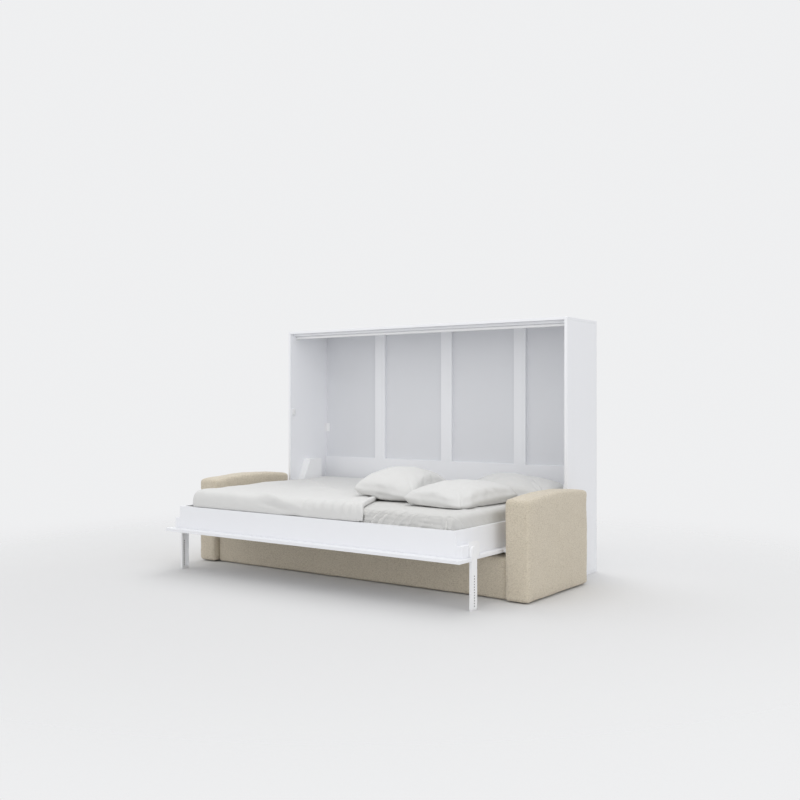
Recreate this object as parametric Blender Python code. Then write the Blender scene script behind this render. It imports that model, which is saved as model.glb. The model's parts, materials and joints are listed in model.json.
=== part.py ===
"""Bed that folds down sideways out of a low wall cabinet, open over a sofa.

Metres, +Z up, X along the cabinet, -Y towards the sleeper's room. The model is laid out from the
cabinet's front face (y = 0 in every function below) and moved by FRONT_Y as each node is made, so
that the origin is the middle of the floor area that the open bed covers.
"""
import math

import bmesh
import bpy
from mathutils import Matrix, Vector

# Clearances
SEAT_GAP = 0.0003
BORE_CLEARANCE = 0.0003
SWING_CLEARANCE = 0.003
CUT_OVERRUN = 0.005

# Cabinet boards
CABINET_DEPTH = 0.410
SIDE_THICKNESS = 0.018
DECK_THICKNESS = 0.016
BACK_THICKNESS = 0.003
BOARD_EDGE_RADIUS = 0.0008
BATTEN_WIDTH = 0.086
BATTEN_THICKNESS = 0.018
BATTEN_PITCH = 0.570
LOWER_RAIL_TOP = 0.649
LOWER_RAIL_HEIGHT = 0.300
TOP_STRIP_SETBACK = 0.040
TOP_STRIP_THICKNESS = 0.020
TOP_STRIP_HEIGHT = 0.015
PLINTH_THICKNESS = 0.012
PLINTH_TOP = 0.236
PANEL_HEAD_GAP = 0.003
MECHANISM_SPACE = 0.062

# Steel stiffener under the top board
STIFFENER_DEPTH = 0.028
STIFFENER_HEIGHT = 0.016
STIFFENER_DROP = 0.017
STIFFENER_WALL = 0.0015
STIFFENER_CAP_LENGTH = 0.012
STIFFENER_CAP_RIM = 0.003

# Small cabinet fittings
LATCH_BOTTOM = 0.957
LATCH_HEIGHT = 0.050
LATCH_SETBACK = 0.0215
LATCH_DEPTH = 0.0215
LATCH_REACH = 0.0137
LATCH_EDGE_RADIUS = 0.002
CORNER_BRACKET_BOTTOM = 0.834
CORNER_BRACKET_HEIGHT = 0.062
CORNER_BRACKET_LEG = 0.028
CORNER_BRACKET_PLATE = 0.002

# Bed panel and box frame
PANEL_THICKNESS = 0.018
PANEL_RECESS = 0.001
PANEL_TAIL = 0.135
PANEL_LIP = 0.062
FRAME_BATTEN_GAP = 0.031
MATTRESS_END_PLAY = 0.002
MATTRESS_SIDE_PLAY = 0.0055
FRAME_THICKNESS = 0.018
FRAME_TOP = 0.407

# Slatted base and bedding
BEARER_WIDTH = 0.020
BEARER_HEIGHT = 0.040
CENTRE_BEAM_WIDTH = 0.030
SLAT_COUNT = 14
SLAT_WIDTH = 0.068
SLAT_THICKNESS = 0.008
SLAT_END_PLAY = 0.002
SLAT_NOTCH = 0.003
MATTRESS_LENGTH = 2.000
MATTRESS_WIDTH = 1.400
MATTRESS_THICKNESS = 0.140
MATTRESS_EDGE_RADIUS = 0.030
MATTRESS_CORNER_RADIUS = 0.070
SLAT_TOP = 0.3395
DUVET_THICKNESS = 0.027
DUVET_HANG = 0.064
DUVET_SHORT_OF_HEAD = 1.310
DUVET_END_HANG = 0.008
DUVET_EDGE_SLANT_SHARE = 0.52
DUVET_SHORT_OF_BACK = 0.0195
DUVET_FRONT_BULGE = 0.018
DUVET_EDGE_RADIUS = 0.018
DUVET_CORNER_RADIUS = 0.100
DUVET_HEM_RADIUS = 0.006

# Pillows: half length, half width, thickness, turn, and place from the head end and the back edge
PILLOW_HALF_LENGTH = 0.300
PILLOW_HALF_WIDTH = 0.208
REAR_PILLOW_HALF_LENGTH = 0.215
REAR_PILLOW_HALF_WIDTH = 0.195
CORNER_PILLOW_HALF_LENGTH = 0.105
CORNER_PILLOW_HALF_WIDTH = 0.065
PILLOW_RINGS = 7
PILLOW_SIDES = 24
PILLOW_CORNER_SHARE = 0.35
PILLOW_RIM_SHARE = 0.80
PILLOW_SEAT_SHARE = 0.42
LOOSE_PILLOW_THICKNESS = 0.150
LOOSE_PILLOW_FROM_HEAD = 0.757
LOOSE_PILLOW_FROM_BACK = 0.795
LOOSE_PILLOW_TURN = -79.0
LOOSE_PILLOW_SETTLE = 0.0066
FRONT_PILLOW_THICKNESS = 0.120
FRONT_PILLOW_FROM_HEAD = 0.300
FRONT_PILLOW_FROM_BACK = 0.884
FRONT_PILLOW_TURN = -95.0
REAR_PILLOW_THICKNESS = 0.126
REAR_PILLOW_FROM_HEAD = 0.312
REAR_PILLOW_FROM_BACK = 0.318
REAR_PILLOW_TURN = -53.0
CORNER_PILLOW_THICKNESS = 0.095
CORNER_PILLOW_FROM_HEAD = 0.095
CORNER_PILLOW_FROM_BACK = 0.165
CORNER_PILLOW_TURN = -53.0

# Main pivot and its shaft
PIVOT_Y = 0.068
PIVOT_Z = 0.320
SHAFT_RADIUS = 0.010
SHAFT_END_PLAY = 0.001
FLANGE_RADIUS = 0.028
FLANGE_THICKNESS = 0.002
LEVER_LENGTH = 0.030
LEVER_RISE_DEGREES = 10
LEVER_THICKNESS = 0.006
LEVER_HUB_RADIUS = 0.018
LEVER_TIP_RADIUS = 0.012
LEVER_SETBACK = 0.020
BUSH_WALL = 0.005
BUSH_LENGTH = 0.0075
SMALL_PIN_RADIUS = 0.005

# Mechanism housing: outline of the pressed steel cover, seen from the end of the bed
COVER_FRONT = 0.024
COVER_BACK = 0.276
COVER_SHOULDER = 0.375
COVER_TOP_FRONT = 0.153
COVER_TOP = 0.642
COVER_SHEET = 0.0015
COVER_FRAME_GAP = 0.0035
COVER_CORNER_RADIUS = 0.006
COVER_FRONT_RADIUS = 0.030
BASE_PLATE_THICKNESS = 0.0025
BASE_PLATE_MARGIN = 0.004

# Gas spring
SPRING_ANCHOR_SETBACK = 0.107
SPRING_ANCHOR_RISE = 0.265
SPRING_TUBE_RADIUS = 0.0135
SPRING_BORE_RADIUS = 0.0122
SPRING_ROD_RADIUS = 0.0035
SPRING_TUBE_LENGTH = 0.190
SPRING_TUBE_FLOOR = 0.012
SPRING_ROD_LENGTH = 0.240
SPRING_EYE_RADIUS = 0.011
SPRING_EYE_LENGTH = 0.012
EYE_NECK_SHARE = 0.8

# Folding legs
LEG_WIDTH = 0.053
LEG_DEPTH = 0.014
LEG_SHEET = 0.002
LEG_SETBACK = 0.059
LEG_PIVOT_Z = 0.302
LEG_SIDE_GAP = 0.0055
LEG_FOOT_HEIGHT = 0.010
LEG_FOOT_OVERLAP = 0.012
LEG_HOLE_COUNT = 12
LEG_HOLE_RADIUS = 0.0036
LEG_LOWEST_HOLE = 0.024
LEG_HOLE_PITCH = 0.01373
LEG_PIN_HEAD_RADIUS = 0.009
LEG_PIN_HEAD_THICKNESS = 0.0012
LEG_BLOCK_LENGTH = 0.159
LEG_BLOCK_THICKNESS = 0.039
LEG_BLOCK_HEIGHT = 0.0617
LEG_PLATE_LENGTH = 0.1035
LEG_PLATE_SETBACK = 0.0565
LEG_PLATE_THICKNESS = 0.002
LEG_PLATE_BOTTOM = 0.258
LEG_PLATE_TOP = 0.350
LEG_PLATE_RADIUS = 0.030
LEG_SLOT_DEPTH = 0.020
LEG_SLOT_MARGIN = 0.004

# Catch plates on the bed that meet the latches
CATCH_PLATE_THICKNESS = 0.001
CATCH_PLATE_LENGTH = 0.040
CATCH_PLATE_WIDTH = 0.012

# Sofa
SOFA_ARM_THICKNESS = 0.140
SOFA_ARM_GAP = 0.0108
SOFA_ARM_DEPTH = 0.730
SOFA_ARM_CROWN = 0.573
SOFA_ARM_FRONT_DROP = 0.043
SOFA_ARM_BACK_DROP = 0.033
SOFA_ARM_CROWN_SETBACK = 0.327
SOFA_ARM_ROUNDING = 0.019
SOFA_ARM_TOP_RADIUS = 0.028
SOFA_ARM_FOOT_RADIUS = 0.020
SOFA_SEAT_DEPTH = 0.694
SOFA_SEAT_TOP = 0.226
SOFA_SEAT_ROUNDING = 0.016
SOFA_FLOOR_GAP = 0.004
GLIDE_RADIUS = 0.020
GLIDE_INSET = 0.070

# Facets of round forms
ROUND_SIDES = 20
SMALL_ROUND_SIDES = 12
ROUND_END_SHARE = 0.98
CORNER_STEPS = 5
CROWN_STEPS = 9

# Places worked out from the sizes above; the mattress sets the bed, and the bed the cabinet
MATTRESS_HALF = MATTRESS_LENGTH / 2
BACK_FACE = CABINET_DEPTH - BACK_THICKNESS
BATTEN_FRONT = BACK_FACE - BATTEN_THICKNESS
FRAME_LENGTH = MATTRESS_LENGTH + 2 * (MATTRESS_END_PLAY + FRAME_THICKNESS)
FRAME_WIDTH = MATTRESS_WIDTH + 2 * (MATTRESS_SIDE_PLAY + FRAME_THICKNESS)
FRAME_HALF = FRAME_LENGTH / 2
FRAME_BACK = BATTEN_FRONT - FRAME_BATTEN_GAP
FRAME_FRONT = FRAME_BACK - FRAME_WIDTH
FRAME_INNER_HALF = FRAME_HALF - FRAME_THICKNESS
FRAME_INNER_FRONT = FRAME_FRONT + FRAME_THICKNESS
FRAME_INNER_BACK = FRAME_BACK - FRAME_THICKNESS
PANEL_REACH = PANEL_LIP - FRAME_FRONT
CABINET_HEIGHT = PIVOT_Z + PIVOT_Y + PANEL_REACH + PANEL_HEAD_GAP + DECK_THICKNESS
INNER_HALF = FRAME_HALF + MECHANISM_SPACE
HALF_WIDTH = INNER_HALF + SIDE_THICKNESS
FRONT_Y = (PANEL_REACH - CABINET_DEPTH) / 2
DECK_UNDERSIDE = CABINET_HEIGHT - DECK_THICKNESS
STIFFENER_TOP = DECK_UNDERSIDE - STIFFENER_DROP
PANEL_HALF = INNER_HALF - SWING_CLEARANCE
PANEL_UNDERSIDE = PIVOT_Z - (PIVOT_Y - PANEL_RECESS)
PANEL_TOP = PANEL_UNDERSIDE + PANEL_THICKNESS
MATTRESS_FRONT = (FRAME_INNER_FRONT + FRAME_INNER_BACK - MATTRESS_WIDTH) / 2
MATTRESS_BACK = MATTRESS_FRONT + MATTRESS_WIDTH
MATTRESS_TOP = SLAT_TOP + SEAT_GAP + MATTRESS_THICKNESS
DUVET_LEFT_EDGE = -(MATTRESS_HALF + DUVET_END_HANG)
DUVET_RIGHT_EDGE = MATTRESS_HALF - DUVET_SHORT_OF_HEAD
DUVET_BACK_EDGE = MATTRESS_BACK - DUVET_SHORT_OF_BACK
DUVET_TOP = MATTRESS_TOP + SEAT_GAP + DUVET_THICKNESS
COVER_INNER_FACE = FRAME_HALF + COVER_FRAME_GAP
LEVER_INNER_FACE = COVER_INNER_FACE + LEVER_SETBACK
SPRING_CENTRE = LEVER_INNER_FACE + LEVER_THICKNESS + SWING_CLEARANCE + SPRING_EYE_LENGTH / 2
BASE_PLATE_FACE = INNER_HALF - SEAT_GAP - BASE_PLATE_THICKNESS
LEVER_TURN = math.radians(LEVER_RISE_DEGREES)
LEVER_TIP_Y = PIVOT_Y + LEVER_LENGTH * math.cos(LEVER_TURN)
LEVER_TIP_Z = PIVOT_Z + LEVER_LENGTH * math.sin(LEVER_TURN)
SPRING_ANCHOR_Y = PIVOT_Y + SPRING_ANCHOR_SETBACK
SPRING_ANCHOR_Z = PIVOT_Z + SPRING_ANCHOR_RISE
LEG_PIVOT_Y = LEG_SETBACK + LEG_WIDTH / 2 - PANEL_REACH + PANEL_LIP
LEG_OUTER_FACE = INNER_HALF - LEG_SIDE_GAP
LEG_INNER_FACE = LEG_OUTER_FACE - LEG_DEPTH
LEG_SLOT_BACK = LEG_PIVOT_Y + LEG_PIVOT_Z + LEG_WIDTH / 2
SOFA_ARM_INNER = INNER_HALF + SOFA_ARM_GAP
SOFA_BACK = -SEAT_GAP

# Finishes: colour, roughness, metallic
WHITE_LAMINATE = ("white_laminate", (0.84, 0.85, 0.87), 0.45, 0.0)
WHITE_STEEL = ("white_powder_coat", (0.86, 0.87, 0.88), 0.40, 0.0)
BARE_STEEL = ("bright_steel", (0.62, 0.63, 0.65), 0.30, 1.0)
GREY_BACK = ("grey_hardboard", (0.66, 0.67, 0.69), 0.60, 0.0)
BIRCH = ("birch_slat", (0.72, 0.58, 0.40), 0.55, 0.0)
BLACK_PLASTIC = ("black_plastic", (0.03, 0.03, 0.03), 0.50, 0.0)
WHITE_PLASTIC = ("white_plastic", (0.85, 0.85, 0.85), 0.40, 0.0)
LINEN = ("off_white_linen", (0.80, 0.79, 0.76), 0.90, 0.0)
TICKING = ("mattress_ticking", (0.84, 0.84, 0.82), 0.90, 0.0)
BOUCLE = ("beige_boucle", (0.62, 0.55, 0.43), 0.95, 0.0)

SIDES = ((-1, "left"), (1, "right"))


def clear_scene():
    """Remove what the file holds before the model is made."""
    for obj in list(bpy.data.objects):
        bpy.data.objects.remove(obj, do_unlink=True)


def finish_material(finish):
    """Return the finish's material, made at its first use."""
    name, colour, roughness, metallic = finish
    material = bpy.data.materials.get(name)
    if material is None:
        material = bpy.data.materials.new(name)
        material.use_nodes = True
        shader = material.node_tree.nodes["Principled BSDF"]
        shader.inputs["Base Color"].default_value = (*colour, 1.0)
        shader.inputs["Roughness"].default_value = roughness
        shader.inputs["Metallic"].default_value = metallic
        material.diffuse_color = (*colour, 1.0)
    return material


def carrier(name, x, y, z, parent=None):
    """Add an empty on a joint's axis, which carries the pieces that turn there."""
    empty = bpy.data.objects.new(name, None)
    empty.location = (x, y + FRONT_Y, z)
    bpy.context.collection.objects.link(empty)
    if parent is not None:
        empty.location -= world_place(parent)
        empty.parent = parent
    return empty


def world_place(empty):
    """Place of an empty that is only moved, never turned."""
    place = Vector(empty.location)
    while empty.parent is not None:
        empty = empty.parent
        place += Vector(empty.location)
    return place


def add_node(name, shape, finish, on=None, smooth=False):
    """Turn a bmesh laid out from the cabinet's front into a node, carried by an empty or free."""
    offset = Vector((0, FRONT_Y, 0))
    if on is not None:
        offset -= world_place(on)
    bmesh.ops.translate(shape, verts=shape.verts, vec=offset)
    bmesh.ops.recalc_face_normals(shape, faces=shape.faces)
    mesh = bpy.data.meshes.new(name)
    shape.to_mesh(mesh)
    shape.free()
    mesh.materials.append(finish_material(finish))
    if smooth:
        mesh.shade_smooth()
        mesh.set_sharp_from_angle(angle=math.radians(35))
    obj = bpy.data.objects.new(name, mesh)
    bpy.context.collection.objects.link(obj)
    obj.parent = on
    return obj


def bevel(obj, width, segments=2, angle=40):
    """Round the edges of an object that turn by more than the angle."""
    modifier = obj.modifiers.new("edge_rounding", "BEVEL")
    modifier.width = width
    modifier.segments = segments
    modifier.limit_method = "ANGLE"
    modifier.angle_limit = math.radians(angle)
    return obj


def combine(obj, tool, operation):
    """Cut a guide object out of a node, or fuse it on."""
    tool.hide_render = True
    tool.display_type = "WIRE"
    modifier = obj.modifiers.new(operation.lower(), "BOOLEAN")
    modifier.operation = operation
    modifier.solver = "EXACT"
    modifier.object = tool
    return obj


def to_axis(axis, a, b, along):
    """Point with plane coordinates a, b and a third coordinate along the axis."""
    return {"X": (along, a, b), "Y": (a, along, b), "Z": (a, b, along)}[axis]


def prism(outline, axis, low, high, shape=None):
    """Outline in the plane across the axis, extruded from low to high along it."""
    shape = shape or bmesh.new()
    start = [shape.verts.new(to_axis(axis, a, b, low)) for a, b in outline]
    end = [shape.verts.new(to_axis(axis, a, b, high)) for a, b in outline]
    shape.faces.new(start)
    shape.faces.new(end)
    for index in range(len(outline)):
        after = (index + 1) % len(outline)
        shape.faces.new((start[index], start[after], end[after], end[index]))
    return shape


def block(x, y, z, shape=None):
    """Rectangular block from (low, high) pairs."""
    return prism(((x[0], y[0]), (x[1], y[0]), (x[1], y[1]), (x[0], y[1])), "Z", z[0], z[1], shape)


def circle(centre, radius, sides=ROUND_SIDES):
    """Points of a circle in a plane."""
    turn = 2 * math.pi / sides
    return [(centre[0] + radius * math.cos(turn * k), centre[1] + radius * math.sin(turn * k))
            for k in range(sides)]


def rounded(corners, steps=CORNER_STEPS):
    """Outline from (a, b, radius) corners, each with a radius turned into an arc."""
    points = []
    count = len(corners)
    for index, (a, b, radius) in enumerate(corners):
        here = Vector((a, b))
        if radius == 0:
            points.append((a, b))
            continue
        before = (Vector(corners[index - 1][:2]) - here).normalized()
        after = (Vector(corners[(index + 1) % count][:2]) - here).normalized()
        half = before.angle(after) / 2
        centre = here + (before + after).normalized() * (radius / math.sin(half))
        start = here + before * (radius / math.tan(half)) - centre
        end = here + after * (radius / math.tan(half)) - centre
        sweep = start.angle_signed(end)
        for step in range(steps + 1):
            arm = Matrix.Rotation(-sweep * step / steps, 2) @ start
            points.append(tuple(centre + arm))
    return points


def turned(profile, base, direction, sides=ROUND_SIDES):
    """Closed solid turned from (radius, height) points about a line; radius 0 closes an end."""
    shape = bmesh.new()
    turn = Vector((0, 0, 1)).rotation_difference(Vector(direction)).to_matrix()
    rings = []
    for radius, height in profile:
        if radius == 0:
            ring = [shape.verts.new(Vector(base) + turn @ Vector((0, 0, height)))]
        else:
            ring = [shape.verts.new(Vector(base) + turn @ Vector((a, b, height)))
                    for a, b in circle((0, 0), radius, sides)]
        rings.append(ring)
    pairs = list(zip(rings, rings[1:]))
    if profile[0][0] != 0:
        pairs.append((rings[-1], rings[0]))
    for lower, upper in pairs:
        for k in range(sides):
            after = (k + 1) % sides
            corners = [lower[k % len(lower)], lower[after % len(lower)],
                       upper[after % len(upper)], upper[k % len(upper)]]
            shape.faces.new(list(dict.fromkeys(corners)))
    return shape


def mirrored(side, low, high):
    """X range on the right, or its mirror image on the left."""
    return (low, high) if side > 0 else (-high, -low)


def board(name, x, y, z, finish=WHITE_LAMINATE, on=None):
    """Edged furniture board."""
    return bevel(add_node(name, block(x, y, z), finish, on), BOARD_EDGE_RADIUS)


def make_cabinet():
    """Carcass boards, back panel and its stiffening battens."""
    carcass_back = BACK_FACE - SEAT_GAP
    full_width = (-HALF_WIDTH, HALF_WIDTH)
    between_sides = (SEAT_GAP - INNER_HALF, INNER_HALF - SEAT_GAP)
    board("bottom_board", full_width, (0, carcass_back), (0, DECK_THICKNESS))
    board("top_board", full_width, (0, carcass_back), (DECK_UNDERSIDE, CABINET_HEIGHT))
    side_height = (DECK_THICKNESS + SEAT_GAP, DECK_UNDERSIDE - SEAT_GAP)
    for side, word in SIDES:
        board(f"side_{word}", mirrored(side, INNER_HALF, HALF_WIDTH), (0, carcass_back), side_height)
    add_node("back_panel", block(full_width, (BACK_FACE, CABINET_DEPTH), (0, CABINET_HEIGHT)), GREY_BACK)
    rail_front = (BATTEN_FRONT, carcass_back)
    board("lower_back_rail", between_sides, rail_front,
          (LOWER_RAIL_TOP - LOWER_RAIL_HEIGHT, LOWER_RAIL_TOP))
    batten_height = (LOWER_RAIL_TOP + SEAT_GAP, DECK_UNDERSIDE - SEAT_GAP)
    for step, word in ((-1, "left"), (0, "middle"), (1, "right")):
        centre = step * BATTEN_PITCH
        board(f"back_batten_{word}", (centre - BATTEN_WIDTH / 2, centre + BATTEN_WIDTH / 2),
              rail_front, batten_height)
    board("plinth_panel", between_sides, (0, PLINTH_THICKNESS), (DECK_THICKNESS + SEAT_GAP, PLINTH_TOP))


def make_top_strips():
    """Front strip under the top board, and the steel stiffener screwed to its back."""
    strip_back = TOP_STRIP_SETBACK + TOP_STRIP_THICKNESS
    strip_bottom = DECK_UNDERSIDE - TOP_STRIP_HEIGHT
    board("top_front_strip", (SEAT_GAP - INNER_HALF, INNER_HALF - SEAT_GAP),
          (TOP_STRIP_SETBACK, strip_back), (strip_bottom, DECK_UNDERSIDE - SEAT_GAP))
    # The tube hangs just below and behind the strip, held by a cap at each side
    front = strip_back + SEAT_GAP
    back = front + STIFFENER_DEPTH
    low = STIFFENER_TOP - STIFFENER_HEIGHT
    end = INNER_HALF - SEAT_GAP - STIFFENER_CAP_LENGTH
    outer = rounded([(front, low, STIFFENER_CAP_RIM), (back, low, STIFFENER_CAP_RIM),
                     (back, STIFFENER_TOP, STIFFENER_CAP_RIM), (front, STIFFENER_TOP, STIFFENER_CAP_RIM)], 3)
    tube = add_node("top_stiffener", prism(outer, "X", -end, end), WHITE_STEEL)
    wall = STIFFENER_WALL
    bore = block((-end - CUT_OVERRUN, end + CUT_OVERRUN), (front + wall, back - wall),
                 (low + wall, STIFFENER_TOP - wall))
    combine(tube, add_node("stiffener_bore_cutter", bore, WHITE_STEEL), "DIFFERENCE")
    rim = STIFFENER_CAP_RIM
    for side, word in SIDES:
        low_x, high_x = mirrored(side, end + SEAT_GAP, INNER_HALF - SEAT_GAP)
        outline = rounded([(front, low - 2 * rim, rim), (back + rim, low - 2 * rim, 2 * rim),
                           (back + rim, STIFFENER_TOP, rim), (front, STIFFENER_TOP, rim)], 3)
        add_node(f"stiffener_cap_{word}", prism(outline, "X", low_x, high_x), WHITE_PLASTIC)


def make_cabinet_fittings():
    """Latches that hold the closed bed, and the brackets in the back corners."""
    for side, word in SIDES:
        end_arc = LATCH_DEPTH / 2 * ROUND_END_SHARE
        outline = rounded([(LATCH_SETBACK, LATCH_BOTTOM, end_arc),
                           (LATCH_SETBACK + LATCH_DEPTH, LATCH_BOTTOM, end_arc),
                           (LATCH_SETBACK + LATCH_DEPTH, LATCH_BOTTOM + LATCH_HEIGHT, end_arc),
                           (LATCH_SETBACK, LATCH_BOTTOM + LATCH_HEIGHT, end_arc)])
        span = mirrored(side, INNER_HALF - LATCH_REACH, INNER_HALF - SEAT_GAP)
        latch = add_node(f"latch_{word}", prism(outline, "X", *span), WHITE_PLASTIC)
        bevel(latch, LATCH_EDGE_RADIUS)
        wall = INNER_HALF - SEAT_GAP
        back = BACK_FACE - SEAT_GAP
        leg, plate = CORNER_BRACKET_LEG, CORNER_BRACKET_PLATE
        angle = [(side * wall, back), (side * (wall - leg), back), (side * (wall - leg), back - plate),
                 (side * (wall - plate), back - plate), (side * (wall - plate), back - leg),
                 (side * wall, back - leg)]
        top = CORNER_BRACKET_BOTTOM + CORNER_BRACKET_HEIGHT
        add_node(f"corner_bracket_{word}", prism(angle, "Z", CORNER_BRACKET_BOTTOM, top), WHITE_STEEL)


def cover_outline(inset):
    """Side outline of the mechanism housing, drawn in by the inset."""
    slope = math.atan2(COVER_TOP_FRONT - COVER_FRONT, COVER_TOP - COVER_SHOULDER)
    shoulder = COVER_SHOULDER - inset * math.tan(slope / 2)
    top_front = COVER_TOP_FRONT + inset * math.tan((math.pi / 2 - slope) / 2)
    low = DECK_THICKNESS + SEAT_GAP + inset
    small = max(COVER_CORNER_RADIUS - inset, COVER_SHEET)
    return rounded([(COVER_FRONT + inset, low, small), (COVER_BACK - inset, low, small),
                    (COVER_BACK - inset, COVER_TOP - inset, small), (top_front, COVER_TOP - inset, small),
                    (COVER_FRONT + inset, shoulder, COVER_FRONT_RADIUS)], 3)


def make_mechanism_housings():
    """Pressed cover open towards the cabinet side, and the plate with bush and anchor pin behind it."""
    for side, word in SIDES:
        wall_face = INNER_HALF - SEAT_GAP
        shell = prism(cover_outline(0), "X", *mirrored(side, COVER_INNER_FACE, wall_face))
        cover = add_node(f"mechanism_cover_{word}", shell, WHITE_STEEL)
        hollow = prism(cover_outline(COVER_SHEET), "X",
                       *mirrored(side, COVER_INNER_FACE + COVER_SHEET, wall_face + CUT_OVERRUN))
        combine(cover, add_node(f"cover_hollow_cutter_{word}", hollow, WHITE_STEEL), "DIFFERENCE")
        hole = prism(circle((PIVOT_Y, PIVOT_Z), SHAFT_RADIUS + SWING_CLEARANCE), "X",
                     *mirrored(side, COVER_INNER_FACE - CUT_OVERRUN,
                               COVER_INNER_FACE + COVER_SHEET + CUT_OVERRUN))
        combine(cover, add_node(f"cover_hole_cutter_{word}", hole, WHITE_STEEL), "DIFFERENCE")

        plate = prism(cover_outline(BASE_PLATE_MARGIN), "X", *mirrored(side, BASE_PLATE_FACE, wall_face))
        plate = add_node(f"mechanism_plate_{word}", plate, BARE_STEEL)
        bush_outer = SHAFT_RADIUS + BORE_CLEARANCE + BUSH_WALL
        seat = prism(circle((PIVOT_Y, PIVOT_Z), bush_outer + SEAT_GAP), "X",
                     *mirrored(side, BASE_PLATE_FACE - CUT_OVERRUN, wall_face + CUT_OVERRUN))
        combine(plate, add_node(f"bush_seat_cutter_{word}", seat, BARE_STEEL), "DIFFERENCE")
        pin_start = SPRING_CENTRE - SPRING_EYE_LENGTH / 2 - BASE_PLATE_THICKNESS
        pin = prism(circle((SPRING_ANCHOR_Y, SPRING_ANCHOR_Z), SMALL_PIN_RADIUS, SMALL_ROUND_SIDES), "X",
                    *mirrored(side, pin_start, BASE_PLATE_FACE + BASE_PLATE_THICKNESS / 2))
        combine(plate, add_node(f"anchor_pin_guide_{word}", pin, BARE_STEEL), "UNION")

        bush_span = mirrored(side, wall_face - BUSH_LENGTH, wall_face)
        inner = SHAFT_RADIUS + BORE_CLEARANCE
        length = bush_span[1] - bush_span[0]
        ring = turned([(bush_outer, 0), (bush_outer, length), (inner, length), (inner, 0)],
                      (bush_span[0], PIVOT_Y, PIVOT_Z), (1, 0, 0))
        add_node(f"pivot_bush_{word}", ring, BLACK_PLASTIC, smooth=True)


def make_gas_springs(bed):
    """Cylinder on the anchor pin and rod on the lever's pin, on each side."""
    eye_bore = SMALL_PIN_RADIUS + BORE_CLEARANCE
    for side, word in SIDES:
        centre = side * SPRING_CENTRE
        anchor = Vector((centre, SPRING_ANCHOR_Y, SPRING_ANCHOR_Z))
        tip = Vector((centre, LEVER_TIP_Y, LEVER_TIP_Z))
        down = (tip - anchor).normalized()
        eye_span = (centre - SPRING_EYE_LENGTH / 2, centre + SPRING_EYE_LENGTH / 2)
        lower = carrier(f"spring_anchor_{word}", *anchor)
        upper = carrier(f"lever_pin_{word}", *tip, parent=bed)
        start = SPRING_EYE_RADIUS * EYE_NECK_SHARE
        tube = turned([(0, start), (SPRING_TUBE_RADIUS, start), (SPRING_TUBE_RADIUS, SPRING_TUBE_LENGTH),
                       (SPRING_BORE_RADIUS, SPRING_TUBE_LENGTH),
                       (SPRING_BORE_RADIUS, start + SPRING_TUBE_FLOOR), (0, start + SPRING_TUBE_FLOOR)],
                      anchor, down)
        tube = add_node(f"spring_cylinder_{word}", tube, BLACK_PLASTIC, lower, smooth=True)
        rod = turned([(0, -SPRING_ROD_LENGTH), (SPRING_ROD_RADIUS, -SPRING_ROD_LENGTH),
                      (SPRING_ROD_RADIUS, -start), (0, -start)], tip, down, SMALL_ROUND_SIDES)
        rod = add_node(f"spring_rod_{word}", rod, BARE_STEEL, upper, smooth=True)
        for node, place, holder in ((tube, anchor, lower), (rod, tip, upper)):
            spot = (place.y, place.z)
            eye = prism(circle(spot, SPRING_EYE_RADIUS), "X", *eye_span)
            combine(node, add_node(f"eye_guide_{node.name}", eye, BARE_STEEL, holder), "UNION")
            bore = prism(circle(spot, eye_bore, SMALL_ROUND_SIDES), "X",
                         eye_span[0] - CUT_OVERRUN, eye_span[1] + CUT_OVERRUN)
            combine(node, add_node(f"eye_cutter_{node.name}", bore, BARE_STEEL, holder), "DIFFERENCE")


def make_pivot_shafts(bed):
    """Flange on the bed's end, shaft through the cover, and the spring's lever, welded together."""
    for side, word in SIDES:
        start = FRAME_HALF + SEAT_GAP
        end = INNER_HALF - SHAFT_END_PLAY
        profile = [(0, 0), (FLANGE_RADIUS, 0), (FLANGE_RADIUS, FLANGE_THICKNESS),
                   (SHAFT_RADIUS, FLANGE_THICKNESS), (SHAFT_RADIUS, end - start), (0, end - start)]
        shaft = turned(profile, (side * start, PIVOT_Y, PIVOT_Z), (side, 0, 0))
        shaft = add_node(f"pivot_shaft_{word}", shaft, BARE_STEEL, bed, smooth=True)
        hub, tip = LEVER_HUB_RADIUS, LEVER_TIP_RADIUS
        hub_arc, tip_arc = hub * ROUND_END_SHARE, tip * ROUND_END_SHARE
        arm = rounded([(-hub, -hub, hub_arc), (0, -hub, 0), (LEVER_LENGTH + tip, -tip, tip_arc),
                       (LEVER_LENGTH + tip, tip, tip_arc), (0, hub, 0), (-hub, hub, hub_arc)])
        arm = [(PIVOT_Y + a * math.cos(LEVER_TURN) - b * math.sin(LEVER_TURN),
                PIVOT_Z + a * math.sin(LEVER_TURN) + b * math.cos(LEVER_TURN)) for a, b in arm]
        lever = prism(arm, "X", *mirrored(side, LEVER_INNER_FACE, LEVER_INNER_FACE + LEVER_THICKNESS))
        combine(shaft, add_node(f"lever_guide_{word}", lever, BARE_STEEL, bed), "UNION")
        pin_end = SPRING_CENTRE + SPRING_EYE_LENGTH / 2 + SEAT_GAP
        pin = prism(circle((LEVER_TIP_Y, LEVER_TIP_Z), SMALL_PIN_RADIUS, SMALL_ROUND_SIDES), "X",
                    *mirrored(side, LEVER_INNER_FACE + LEVER_THICKNESS / 2, pin_end))
        combine(shaft, add_node(f"lever_pin_guide_{word}", pin, BARE_STEEL, bed), "UNION")


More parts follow.
